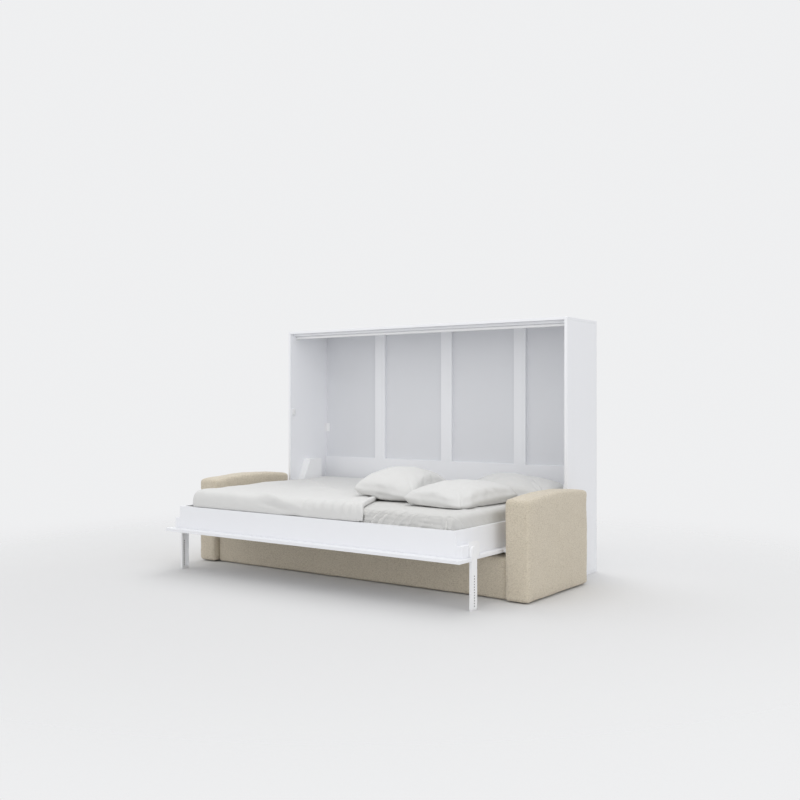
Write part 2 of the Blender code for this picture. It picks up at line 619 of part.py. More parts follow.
def make_front_panel(bed):
    """Panel that closes the cabinet, slotted for the legs and narrowed between the housings."""
    slot_x = PANEL_HALF - LEG_SLOT_DEPTH
    slot_front = LEG_PIVOT_Y - LEG_WIDTH / 2 - LEG_SLOT_MARGIN
    right = [(PANEL_HALF, -PANEL_REACH), (PANEL_HALF, slot_front), (slot_x, slot_front),
             (slot_x, LEG_SLOT_BACK), (PANEL_HALF, LEG_SLOT_BACK), (PANEL_HALF, 0),
             (FRAME_HALF, 0), (FRAME_HALF, PANEL_TAIL)]
    outline = right + [(-x, y) for x, y in reversed(right)]
    panel = add_node("front_panel", prism(outline, "Z", PANEL_UNDERSIDE, PANEL_TOP), WHITE_LAMINATE, bed)
    bevel(panel, BOARD_EDGE_RADIUS)
    length = CATCH_PLATE_LENGTH / 2
    centre = PIVOT_Y - (LATCH_BOTTOM + LATCH_HEIGHT / 2 - PIVOT_Z)
    for side, word in SIDES:
        outer = PANEL_HALF - SWING_CLEARANCE
        plate = block(mirrored(side, outer - CATCH_PLATE_WIDTH, outer), (centre - length, centre + length),
                      (PANEL_TOP + SEAT_GAP, PANEL_TOP + SEAT_GAP + CATCH_PLATE_THICKNESS))
        add_node(f"catch_plate_{word}", plate, BARE_STEEL, bed)


def make_bed_frame(bed):
    """Box frame on the panel: long rails, ends between them, bearers, and slats on a centre beam."""
    low = PANEL_TOP + SEAT_GAP
    height = (low, FRAME_TOP)
    full = (-FRAME_HALF, FRAME_HALF)
    inner_half = FRAME_INNER_HALF - SEAT_GAP
    inner_depth = (FRAME_INNER_FRONT + SEAT_GAP, FRAME_INNER_BACK - SEAT_GAP)
    board("frame_front_rail", full, (FRAME_FRONT, FRAME_INNER_FRONT), height, on=bed)
    board("frame_back_rail", full, (FRAME_INNER_BACK, FRAME_BACK), height, on=bed)
    for side, word in SIDES:
        board(f"frame_end_{word}", mirrored(side, FRAME_INNER_HALF, FRAME_HALF), inner_depth, height, on=bed)
    slat_bottom = SLAT_TOP - SLAT_THICKNESS
    bearer_height = (slat_bottom - SEAT_GAP - BEARER_HEIGHT, slat_bottom - SEAT_GAP)
    front = (inner_depth[0], inner_depth[0] + BEARER_WIDTH)
    back = (inner_depth[1] - BEARER_WIDTH, inner_depth[1])
    board("slat_bearer_front", (-inner_half, inner_half), front, bearer_height, BIRCH, bed)
    board("slat_bearer_back", (-inner_half, inner_half), back, bearer_height, BIRCH, bed)
    middle = (inner_depth[0] + inner_depth[1]) / 2
    base = board("slatted_base", (-inner_half, inner_half),
                 (middle - CENTRE_BEAM_WIDTH / 2, middle + CENTRE_BEAM_WIDTH / 2),
                 (low, slat_bottom + SLAT_NOTCH), BIRCH, bed)
    slats = bmesh.new()
    pitch = 2 * inner_half / SLAT_COUNT
    for index in range(SLAT_COUNT):
        centre = (2 * index + 1) * pitch / 2 - inner_half
        block((centre - SLAT_WIDTH / 2, centre + SLAT_WIDTH / 2),
              (inner_depth[0] + SLAT_END_PLAY, inner_depth[1] - SLAT_END_PLAY),
              (slat_bottom, SLAT_TOP), slats)
    combine(base, add_node("slat_guide", slats, BIRCH, bed), "UNION")


def make_legs(bed):
    """Spacer block, plate with the leg's pin, and the folding channel leg with its glide."""
    for side, word in SIDES:
        low = PANEL_TOP + SEAT_GAP
        block_face = FRAME_HALF + SEAT_GAP + LEG_BLOCK_THICKNESS
        leg_block = block(mirrored(side, FRAME_HALF + SEAT_GAP, block_face),
                          (FRAME_FRONT, FRAME_FRONT + LEG_BLOCK_LENGTH), (low, low + LEG_BLOCK_HEIGHT))
        bevel(add_node(f"leg_block_{word}", leg_block, WHITE_LAMINATE, bed), BOARD_EDGE_RADIUS)

        plate_face = block_face + SEAT_GAP + LEG_PLATE_THICKNESS
        front = FRAME_FRONT + LEG_PLATE_SETBACK
        back = front + LEG_PLATE_LENGTH
        radius = LEG_PLATE_RADIUS
        outline = rounded([(front, LEG_PLATE_BOTTOM, LEG_SHEET), (back, LEG_PLATE_BOTTOM, radius),
                           (back, LEG_PLATE_TOP, radius), (front, LEG_PLATE_TOP, LEG_SHEET)])
        plate = prism(outline, "X", *mirrored(side, block_face + SEAT_GAP, plate_face))
        plate = add_node(f"leg_plate_{word}", plate, WHITE_STEEL, bed)
        head_face = LEG_OUTER_FACE + SEAT_GAP
        pin = turned([(0, 0), (SMALL_PIN_RADIUS, 0), (SMALL_PIN_RADIUS, head_face - plate_face + LEG_SHEET / 2),
                      (LEG_PIN_HEAD_RADIUS, head_face - plate_face + LEG_SHEET / 2),
                      (LEG_PIN_HEAD_RADIUS, head_face - plate_face + LEG_SHEET / 2 + LEG_PIN_HEAD_THICKNESS),
                      (0, head_face - plate_face + LEG_SHEET / 2 + LEG_PIN_HEAD_THICKNESS)],
                     (side * (plate_face - LEG_SHEET / 2), LEG_PIVOT_Y, LEG_PIVOT_Z), (side, 0, 0))
        combine(plate, add_node(f"leg_pin_guide_{word}", pin, BARE_STEEL, bed), "UNION")

        hinge = carrier(f"leg_hinge_{word}", side * LEG_OUTER_FACE, LEG_PIVOT_Y, LEG_PIVOT_Z, bed)
        make_leg(side, word, hinge)


def make_leg(side, word, hinge):
    """Channel leg with a round top end, its pin hole and the row of adjusting holes."""
    half = LEG_WIDTH / 2
    front, back = LEG_PIVOT_Y - half, LEG_PIVOT_Y + half
    top = LEG_PIVOT_Z + half
    outline = rounded([(front, LEG_FOOT_HEIGHT, 0), (back, LEG_FOOT_HEIGHT, 0),
                       (back, top, half * ROUND_END_SHARE), (front, top, half * ROUND_END_SHARE)])
    channel = prism(outline, "X", *mirrored(side, LEG_INNER_FACE, LEG_OUTER_FACE))
    leg = add_node(f"leg_{word}", channel, WHITE_STEEL, hinge)
    inner = half - LEG_SHEET
    inner_top = LEG_PIVOT_Z + inner
    trough = rounded([(LEG_PIVOT_Y - inner, LEG_FOOT_HEIGHT - CUT_OVERRUN, 0),
                      (LEG_PIVOT_Y + inner, LEG_FOOT_HEIGHT - CUT_OVERRUN, 0),
                      (LEG_PIVOT_Y + inner, inner_top, inner * ROUND_END_SHARE),
                      (LEG_PIVOT_Y - inner, inner_top, inner * ROUND_END_SHARE)])
    hollow = prism(trough, "X", *mirrored(side, LEG_INNER_FACE - CUT_OVERRUN, LEG_OUTER_FACE - LEG_SHEET))
    combine(leg, add_node(f"leg_trough_cutter_{word}", hollow, WHITE_STEEL, hinge), "DIFFERENCE")
    web = mirrored(side, LEG_OUTER_FACE - LEG_SHEET - CUT_OVERRUN / 2, LEG_OUTER_FACE + CUT_OVERRUN)
    holes = bmesh.new()
    prism(circle((LEG_PIVOT_Y, LEG_PIVOT_Z), SMALL_PIN_RADIUS + BORE_CLEARANCE), "X", *web, holes)
    for index in range(LEG_HOLE_COUNT):
        height = LEG_LOWEST_HOLE + index * LEG_HOLE_PITCH
        prism(circle((LEG_PIVOT_Y, height), LEG_HOLE_RADIUS, SMALL_ROUND_SIDES), "X", *web, holes)
    combine(leg, add_node(f"leg_hole_cutter_{word}", holes, WHITE_STEEL, hinge), "DIFFERENCE")

    # The glide closes the channel's lower end: a sole under the steel and a plug inside it
    plug = inner - SEAT_GAP
    sole = LEG_FOOT_HEIGHT - SEAT_GAP
    profile = [(front, 0), (back, 0), (back, sole), (LEG_PIVOT_Y + plug, sole),
               (LEG_PIVOT_Y + plug, LEG_FOOT_HEIGHT + LEG_FOOT_OVERLAP / 2),
               (LEG_PIVOT_Y - plug, LEG_FOOT_HEIGHT + LEG_FOOT_OVERLAP / 2),
               (LEG_PIVOT_Y - plug, sole), (front, sole)]
    foot = prism(profile, "X", *mirrored(side, LEG_INNER_FACE, LEG_OUTER_FACE - LEG_SHEET - SEAT_GAP))
    add_node(f"leg_foot_{word}", foot, WHITE_PLASTIC, hinge)


def make_mattress(bed):
    """Foam mattress with rounded corners and edges."""
    corner = MATTRESS_CORNER_RADIUS
    outline = rounded([(-MATTRESS_HALF, MATTRESS_FRONT, corner), (MATTRESS_HALF, MATTRESS_FRONT, corner),
                       (MATTRESS_HALF, MATTRESS_BACK, corner), (-MATTRESS_HALF, MATTRESS_BACK, corner)])
    shape = prism(outline, "Z", SLAT_TOP + SEAT_GAP, MATTRESS_TOP)
    bevel(add_node("mattress", shape, TICKING, bed, smooth=True), MATTRESS_EDGE_RADIUS, 4)


def make_duvet(bed):
    """Duvet laid askew over the foot half, its front edge hanging down over the mattress."""
    under = MATTRESS_TOP + SEAT_GAP
    hem = under - DUVET_HANG
    inside = MATTRESS_FRONT - SEAT_GAP
    front = MATTRESS_FRONT - DUVET_FRONT_BULGE
    inner_radius = MATTRESS_EDGE_RADIUS
    outline = rounded([(front, hem, DUVET_HEM_RADIUS), (inside, hem, 0), (inside, under, inner_radius),
                       (DUVET_BACK_EDGE, under, 0), (DUVET_BACK_EDGE, DUVET_TOP, DUVET_HEM_RADIUS),
                       (front, DUVET_TOP, inner_radius + DUVET_EDGE_RADIUS)])
    shape = prism(outline, "X", DUVET_LEFT_EDGE, DUVET_RIGHT_EDGE)
    for vert in shape.verts:
        if vert.co.x > (DUVET_LEFT_EDGE + DUVET_RIGHT_EDGE) / 2:
            vert.co.x += DUVET_EDGE_SLANT_SHARE * (DUVET_BACK_EDGE - vert.co.y)
    duvet = add_node("duvet", shape, LINEN, bed, smooth=True)
    # The corner over the mattress's front left corner is drawn in to a round
    radius = DUVET_CORNER_RADIUS
    beyond = CUT_OVERRUN
    x, y = DUVET_LEFT_EDGE, front
    outline = rounded([(x - beyond, y - beyond, 0), (x + radius, y - beyond, 0), (x + radius, y, 0),
                       (x, y, radius * ROUND_END_SHARE), (x, y + radius, 0), (x - beyond, y + radius, 0)])
    corner = prism(outline, "Z", hem - beyond, DUVET_TOP + beyond)
    combine(duvet, add_node("duvet_corner_cutter", corner, LINEN, bed), "DIFFERENCE")


def signed_power(value, exponent):
    """Power that keeps the sign of its base."""
    return math.copysign(abs(value) ** exponent, value)


def make_pillow(name, bed, half_length, half_width, thickness, from_head, from_back, seat, turn):
    """Plump pillow: a flattened ball with squared corners, flatter where it lies."""
    shape = bmesh.new()
    rings = []
    for ring in range(1, PILLOW_RINGS * 2):
        rise = math.pi * (ring / (PILLOW_RINGS * 2) - 0.5)
        reach = signed_power(math.cos(rise), PILLOW_RIM_SHARE)
        flat = PILLOW_SEAT_SHARE if rise < 0 else 1 - PILLOW_SEAT_SHARE
        height = thickness * flat * math.sin(rise)
        verts = []
        for k in range(PILLOW_SIDES):
            around = 2 * math.pi * k / PILLOW_SIDES
            verts.append(shape.verts.new((
                half_length * reach * signed_power(math.cos(around), PILLOW_CORNER_SHARE),
                half_width * reach * signed_power(math.sin(around), PILLOW_CORNER_SHARE), height)))
        rings.append(verts)
    for lower, upper in zip(rings, rings[1:]):
        for k in range(PILLOW_SIDES):
            after = (k + 1) % PILLOW_SIDES
            shape.faces.new((lower[k], lower[after], upper[after], upper[k]))
    for ends, height in ((rings[0], -thickness * PILLOW_SEAT_SHARE),
                         (rings[-1], thickness * (1 - PILLOW_SEAT_SHARE))):
        pole = shape.verts.new((0, 0, height))
        for k in range(PILLOW_SIDES):
            shape.faces.new((ends[k], ends[(k + 1) % PILLOW_SIDES], pole))
    bmesh.ops.transform(shape, matrix=Matrix.Rotation(math.radians(turn), 4, "Z"), verts=shape.verts)
    lowest = min(vert.co.z for vert in shape.verts)
    place = (MATTRESS_HALF - from_head, MATTRESS_BACK - from_back, seat + SEAT_GAP - lowest)
    bmesh.ops.translate(shape, verts=shape.verts, vec=place)
    return add_node(name, shape, LINEN, bed, smooth=True)


def make_pillows(bed):
    """One pillow in the middle, its belly settled past the duvet's edge, and three at the head end."""
    make_pillow("pillow_loose", bed, PILLOW_HALF_LENGTH, PILLOW_HALF_WIDTH, LOOSE_PILLOW_THICKNESS,
                LOOSE_PILLOW_FROM_HEAD, LOOSE_PILLOW_FROM_BACK, DUVET_TOP - LOOSE_PILLOW_SETTLE,
                LOOSE_PILLOW_TURN)
    make_pillow("pillow_front", bed, PILLOW_HALF_LENGTH, PILLOW_HALF_WIDTH, FRONT_PILLOW_THICKNESS,
                FRONT_PILLOW_FROM_HEAD, FRONT_PILLOW_FROM_BACK, MATTRESS_TOP, FRONT_PILLOW_TURN)
    make_pillow("pillow_rear", bed, REAR_PILLOW_HALF_LENGTH, REAR_PILLOW_HALF_WIDTH,
                REAR_PILLOW_THICKNESS, REAR_PILLOW_FROM_HEAD, REAR_PILLOW_FROM_BACK, MATTRESS_TOP,
                REAR_PILLOW_TURN)
    make_pillow("pillow_corner", bed, CORNER_PILLOW_HALF_LENGTH, CORNER_PILLOW_HALF_WIDTH,
                CORNER_PILLOW_THICKNESS, CORNER_PILLOW_FROM_HEAD, CORNER_PILLOW_FROM_BACK, MATTRESS_TOP,
                CORNER_PILLOW_TURN)


def arm_outline():
    """Side outline of a sofa arm: upright front and back under a long low crown."""
    front = -SOFA_ARM_DEPTH
    crown_y = SOFA_BACK - SOFA_ARM_CROWN_SETBACK
    foot = SOFA_ARM_FOOT_RADIUS
    top = SOFA_ARM_TOP_RADIUS

    def crown(y):
        drop = SOFA_ARM_FRONT_DROP if y < crown_y else SOFA_ARM_BACK_DROP
        reach = crown_y - front if y < crown_y else SOFA_ARM_CROWN_SETBACK
        return SOFA_ARM_CROWN - drop * ((y - crown_y) / reach) ** 2

    corners = [(front, SOFA_FLOOR_GAP, foot), (SOFA_BACK, SOFA_FLOOR_GAP, foot),
               (SOFA_BACK, crown(SOFA_BACK), top)]
    start, end = SOFA_BACK - 2 * top, front + 2 * top
    for step in range(CROWN_STEPS + 1):
        y = start + (end - start) * step / CROWN_STEPS
        corners.append((y, crown(y), 0))
    corners.append((front, crown(front), top))
    return rounded(corners)


def add_glides(piece, places, depth):
    """Fuse a front and a back glide to the underside of a sofa piece at each place along X."""
    glides = bmesh.new()
    for x in places:
        for y in (GLIDE_INSET - depth, SOFA_BACK - GLIDE_INSET):
            prism(circle((x, y), GLIDE_RADIUS, SMALL_ROUND_SIDES), "Z", 0, SOFA_FLOOR_GAP * 2, glides)
    combine(piece, add_node(f"glide_guide_{piece.name}", glides, BLACK_PLASTIC), "UNION")


def make_sofa():
    """Two upholstered arms and the seat platform between them, on glides."""
    for side, word in SIDES:
        span = mirrored(side, SOFA_ARM_INNER, SOFA_ARM_INNER + SOFA_ARM_THICKNESS)
        arm = add_node(f"sofa_arm_{word}", prism(arm_outline(), "X", *span), BOUCLE, smooth=True)
        bevel(arm, SOFA_ARM_ROUNDING, 4, 50)
        add_glides(arm, (side * (SOFA_ARM_INNER + SOFA_ARM_THICKNESS / 2),), SOFA_ARM_DEPTH)
    half = SOFA_ARM_INNER - SEAT_GAP
    seat = block((-half, half), (-SOFA_SEAT_DEPTH, SOFA_BACK), (SOFA_FLOOR_GAP, SOFA_SEAT_TOP))
    seat = bevel(add_node("sofa_seat", seat, BOUCLE, smooth=True), SOFA_SEAT_ROUNDING, 3)
    add_glides(seat, (-half / 2, half / 2), SOFA_SEAT_DEPTH)


def main():
    """Build the cabinet, the bed with its mechanism, and the sofa."""
    clear_scene()
    make_cabinet()
    make_top_strips()
    make_cabinet_fittings()
    make_mechanism_housings()
    bed = carrier("bed_pivot", 0, PIVOT_Y, PIVOT_Z)
    make_pivot_shafts(bed)
    make_gas_springs(bed)
    make_front_panel(bed)
    make_bed_frame(bed)
    make_legs(bed)
    make_mattress(bed)
    make_duvet(bed)
    make_pillows(bed)
    make_sofa()


main()
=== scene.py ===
"""Looks of a bed that folds down sideways out of a low wall cabinet, over an upholstered sofa.

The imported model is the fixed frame. Boards, steel and plastic keep their own nodes and get
finishes; the mattress, bedding and sofa are modelled here as cloth and padding round their solids.
Metres, +Z up, X along the cabinet, -Y towards the room.
"""
import json
import logging
import math
from dataclasses import dataclass
from enum import Enum
from typing import Any, Callable, Iterable, Optional, Sequence

import bmesh
import bpy
import numpy as np
from mathutils import Matrix, Vector

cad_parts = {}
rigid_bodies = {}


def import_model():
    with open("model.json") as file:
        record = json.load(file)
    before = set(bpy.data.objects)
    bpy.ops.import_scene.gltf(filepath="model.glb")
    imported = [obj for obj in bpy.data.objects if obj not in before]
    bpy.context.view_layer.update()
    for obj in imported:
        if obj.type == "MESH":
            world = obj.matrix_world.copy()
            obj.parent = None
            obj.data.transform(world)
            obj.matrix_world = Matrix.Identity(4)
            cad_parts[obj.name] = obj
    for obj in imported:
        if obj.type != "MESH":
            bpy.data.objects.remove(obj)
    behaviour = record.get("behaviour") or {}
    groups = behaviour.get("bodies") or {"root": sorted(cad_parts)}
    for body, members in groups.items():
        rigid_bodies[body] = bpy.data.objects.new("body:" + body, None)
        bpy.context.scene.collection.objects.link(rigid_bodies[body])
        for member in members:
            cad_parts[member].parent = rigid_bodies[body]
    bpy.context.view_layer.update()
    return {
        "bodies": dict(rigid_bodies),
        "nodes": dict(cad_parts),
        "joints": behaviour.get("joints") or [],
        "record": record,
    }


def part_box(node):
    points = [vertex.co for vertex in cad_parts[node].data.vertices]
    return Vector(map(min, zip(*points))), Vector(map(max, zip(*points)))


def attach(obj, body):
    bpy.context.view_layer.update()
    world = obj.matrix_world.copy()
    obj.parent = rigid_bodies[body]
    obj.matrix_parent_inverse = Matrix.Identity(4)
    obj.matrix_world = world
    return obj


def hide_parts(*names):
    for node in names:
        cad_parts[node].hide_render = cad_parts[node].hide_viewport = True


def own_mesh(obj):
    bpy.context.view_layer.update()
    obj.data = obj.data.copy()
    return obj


LOG = logging.getLogger("fold_down_bed")
Colour = tuple[float, float, float]
Point = tuple[float, float, float]
Layer = tuple[float, float, float]
Piece = bpy.types.Object
Socket = bpy.types.NodeSocket
SIDES = ((-1, "left"), (1, "right"))
MERGE_DISTANCE = 0.00002
NOISE_WAVES = 14
NOISE_SPREAD = (0.7, 1.5)
NOISE_RANGE = 1.6
EDGE_ANGLE = 35
LOWER_PANEL_UV = np.array([0, 2.0])


def activate(piece: Piece) -> None:
    """Deselect everything, then select one piece and make it the active one.

    Args:
        piece: the object to make active.
    """
    bpy.ops.object.select_all(action="DESELECT")
    piece.select_set(True)
    bpy.context.view_layer.objects.active = piece


def link(name: str, data: Any) -> Piece:
    """Make an object of a mesh, or of a lamp's or camera's data, and link it to the scene.

    Args:
        name: name of the object.
        data: its mesh, lamp or camera data.

    Returns:
        The linked object.
    """
    piece = bpy.data.objects.new(name, data)
    bpy.context.scene.collection.objects.link(piece)
    return piece


def new_piece(name: str, points: Sequence, faces: Sequence,
              loop_uv: Optional[np.ndarray] = None) -> Piece:
    """Make a mesh object from points and faces.

    Args:
        name: name of the piece.
        points: vertex places in metres.
        faces: vertex numbers of each face, seen from outside.
        loop_uv: one UV pair for each face corner, in order.

    Returns:
        The linked object, at the origin.
    """
    mesh = bpy.data.meshes.new(name)
    mesh.from_pydata([tuple(p) for p in points], [], [tuple(f) for f in faces])
    if loop_uv is not None:
        set_uv(mesh, loop_uv)
    return link(name, mesh)


def set_uv(mesh: bpy.types.Mesh, loop_uv: np.ndarray) -> None:
    """Give a mesh the flat cloth's UV layer, one pair for each face corner."""
    layer = mesh.uv_layers.new(name="cloth")
    layer.data.foreach_set("uv", np.asarray(loop_uv, np.float32).ravel())


def read_rows(piece: Piece, what: str) -> np.ndarray:
    """Give a vector of every vertex, such as co or normal, as rows of an array.

    Args:
        piece: the object that is read.
        what: co or normal.

    Returns:
        A row of three numbers for each vertex.
    """
    rows = np.zeros(len(piece.data.vertices) * 3, np.float32)
    piece.data.vertices.foreach_get(what, rows)
    return rows.reshape(-1, 3).astype(float)


def read_points(piece: Piece) -> np.ndarray:
    """Give the piece's vertex places."""
    return read_rows(piece, "co")


def read_normals(piece: Piece) -> np.ndarray:
    """Give the piece's vertex normals."""
    return read_rows(piece, "normal")


def write_points(piece: Piece, places: np.ndarray) -> None:
    """Put the rows of an array back as the piece's vertex places."""
    piece.data.vertices.foreach_set("co", np.asarray(places, np.float32).ravel())
    piece.data.update()


def push_out(piece: Piece, distance: Any) -> None:
    """Move the vertices along their normals, all by one distance or each by its own."""
    step = np.reshape(distance, (-1, 1)) * read_normals(piece)
    write_points(piece, read_points(piece) + step)


def lift_to(piece: Piece, height: float) -> None:
    """Lift what lies below a height up to it.

    Args:
        piece: the object that is changed.
        height: lowest z that stays.
    """
    places = read_points(piece)
    places[:, 2] = np.maximum(places[:, 2], height)
    write_points(piece, places)


def grid_faces(rows: int, columns: int) -> np.ndarray:
    """Number the corners of each face of a grid of points, column by column within each row."""
    first = np.arange((rows - 1) * columns).reshape(-1, columns)[:, :-1].ravel()
    return np.stack([first, first + columns, first + columns + 1, first + 1], 1)


def apply_modifier(piece: Piece, kind: str, **settings: Any) -> None:
    """Add a modifier with the given settings to the piece and apply it.

    Args:
        piece: the object that is changed.
        kind: Blender's name of the type.
        settings: the modifier's settings.
    """
    activate(piece)
    modifier = piece.modifiers.new(kind.title(), kind)
    for key, value in settings.items():
        setattr(modifier, key, value)
    bpy.ops.object.modifier_apply(modifier=modifier.name)


def subdivide(piece: Piece) -> None:
    """Apply one level of subdivision surface."""
    apply_modifier(piece, "SUBSURF", levels=1, render_levels=1)


def smooth(piece: Piece, angle: Optional[float] = None) -> None:
    """Shade the piece smooth, but for edges sharper than the angle in degrees, if given.

    Args:
        piece: the object that is shaded.
        angle: edges sharper than this stay, or None for no such edge.
    """
    activate(piece)
    if angle is None:
        bpy.ops.object.shade_smooth()
    else:
        bpy.ops.object.shade_smooth_by_angle(angle=math.radians(angle))


def copy_of_node(node: str, name: str) -> Piece:
    """Copy a node's mesh into a new piece with its doubles merged.

    Args:
        node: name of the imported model's node.
        name: name of the copy.

    Returns:
        The copy, without a material.
    """
    mesh = bpy.data.objects[node].data.copy()
    mesh.materials.clear()
    piece = link(name, mesh)
    shape = bmesh.new()
    shape.from_mesh(mesh)
    bmesh.ops.remove_doubles(shape, verts=shape.verts, dist=MERGE_DISTANCE)
    shape.to_mesh(mesh)
    shape.free()
    return piece


def remesh(piece: Piece, voxel: float) -> None:
    """Voxel-remesh a piece to even quads.

    Args:
        piece: the object that is remeshed.
        voxel: size of a quad in metres.
    """
    activate(piece)
    piece.data.remesh_voxel_size = voxel
    bpy.ops.object.voxel_remesh()


def cut_below(piece: Piece, height: float, close: bool) -> None:
    """Cut off what lies below a height, and close the cut or leave it open.

    Args:
        piece: the object that is cut.
        height: z of the cut.
        close: whether the cut is filled with a face.
    """
    activate(piece)
    bpy.ops.object.mode_set(mode="EDIT")
    bpy.ops.mesh.select_all(action="SELECT")
    bpy.ops.mesh.bisect(plane_co=(0, 0, height), plane_no=(0, 0, 1), use_fill=close,
                        clear_inner=True)
    bpy.ops.object.mode_set(mode="OBJECT")


def turned_piece(radius: float, depth: float, sides: int, edge: float, segments: int,
                 **place: Point) -> Piece:
    """Turn a small round piece with rounded edges.

    Args:
        radius: its radius.
        depth: its length along its axis.
        sides: number of sides of its round.
        edge: width of the rounded edge.
        segments: number of steps in the rounded edge.
        place: location or rotation, applied before the edges are rounded.

    Returns:
        The new piece, with its transform applied.
    """
    bpy.ops.object.select_all(action="DESELECT")
    bpy.ops.mesh.primitive_cylinder_add(vertices=sides, radius=radius, depth=depth, **place)
    piece = bpy.context.object
    bpy.ops.object.transform_apply(location=True, rotation=True)
    apply_modifier(piece, "BEVEL", width=edge, segments=segments, limit_method="ANGLE")
    return piece


def merge_copies(name: str, pattern: Piece, spots: Iterable[Matrix]) -> Piece:
    """Copy a modelled piece to each place in one mesh, and remove the pattern piece.

    Args:
        name: name of the new piece.
        pattern: the piece that is repeated, modelled at the origin.
        spots: where each copy goes.

    Returns:
        The new piece, shaded smooth between its edges.
    """
    shape = bmesh.new()
    for spot in spots:
        start = len(shape.verts)
        shape.from_mesh(pattern.data)
        shape.verts.ensure_lookup_table()
        bmesh.ops.transform(shape, matrix=spot, verts=shape.verts[start:])
    mesh = bpy.data.meshes.new(name)
    shape.to_mesh(mesh)
    shape.free()
    bpy.data.objects.remove(pattern)
    piece = link(name, mesh)
    smooth(piece, EDGE_ANGLE)
    return piece


def solid_noise(places: np.ndarray, size: float, seed: float) -> np.ndarray:
    """Smooth repeatable noise from summed waves, about -1 to 1.

    Args:
        places: rows of coordinates, of any width.
        size: length of one wave in metres.
        seed: number that picks the pattern.

    Returns:
        One value for each row.
    """
    wave = np.random.default_rng(int(seed * 1000) % (2 ** 31))
    total = np.zeros(len(places))
    for _ in range(NOISE_WAVES):
        direction = wave.normal(size=places.shape[1])
        direction /= np.linalg.norm(direction)
        length = size * wave.uniform(*NOISE_SPREAD)
        total += np.sin(places @ direction * (2 * math.pi / length) + wave.uniform(0, 2 * math.pi))
    return total / math.sqrt(NOISE_WAVES / 2) / NOISE_RANGE


def uneven(places: np.ndarray, *layers: Layer, start: Any = 0) -> np.ndarray:
    """Add layers of noise to the start value, each layer given by its height, size and seed."""
    return sum((height * solid_noise(places, size, seed) for height, size, seed in layers), start)


class Pattern(Enum):
    """Kinds of surface pattern, each built once as a node group."""

    SPECKLE = "speckle"
    GRAIN = "grain"
    WEAVE = "weave"
    LOOPS = "loops"


class Wiring:
    """Adds nodes and links to one node tree."""

    ROW = 8
    PITCH = (220, -260)
    NOISE_ROUGHNESS = 0.55

    def __init__(self, tree: bpy.types.NodeTree) -> None:
        """Take the tree that the nodes go in."""
        self.tree = tree
        self.count = 0

    def add(self, kind: str, inputs: Optional[dict] = None, **settings: Any) -> bpy.types.Node:
        """Add a node.

        Args:
            kind: Blender's name of the node's type.
            inputs: value or source socket for each input, by name or number.
            settings: the node's own settings.

        Returns:
            The new node.
        """
        node = self.tree.nodes.new(kind)
        line, column = divmod(self.count, self.ROW)
        node.location = (self.PITCH[0] * column, self.PITCH[1] * line)
        self.count += 1
        for key, value in settings.items():
            setattr(node, key, value)
        for key, value in (inputs or {}).items():
            if isinstance(value, Socket):
                self.tree.links.new(value, node.inputs[key])
            else:
                node.inputs[key].default_value = value
        return node

    def math(self, operation: str, a: Any, b: Any = 0.0) -> Socket:
        """Add a Math node and give its result."""
        return self.add("ShaderNodeMath", {0: a, 1: b}, operation=operation).outputs[0]

    def times(self, a: Any, b: Any) -> Socket:
        """Multiply two values."""
        return self.math("MULTIPLY", a, b)

    def weighted(self, *terms: tuple) -> Socket:
        """Add up values, each times its weight.

        Args:
            terms: pairs of a value and its weight.

        Returns:
            The socket of the sum.
        """
        total = self.times(*terms[0])
        for term in terms[1:]:
            total = self.math("ADD", total, self.times(*term))
        return total

    def mix(self, share: Any, a: Any, b: Any, blend: str = "MIX") -> Socket:
        """Add a colour Mix node and give its result."""
        return self.add("ShaderNodeMix", {0: share, 6: a, 7: b}, data_type="RGBA",
                        blend_type=blend).outputs[2]

    def noise(self, place: Any, scale: Any, detail: float = 3.0) -> Socket:
        """Add a Noise node and give its value."""
        inputs = {"Vector": place, "Scale": scale, "Detail": detail,
                  "Roughness": self.NOISE_ROUGHNESS}
        return self.add("ShaderNodeTexNoise", inputs).outputs["Fac"]


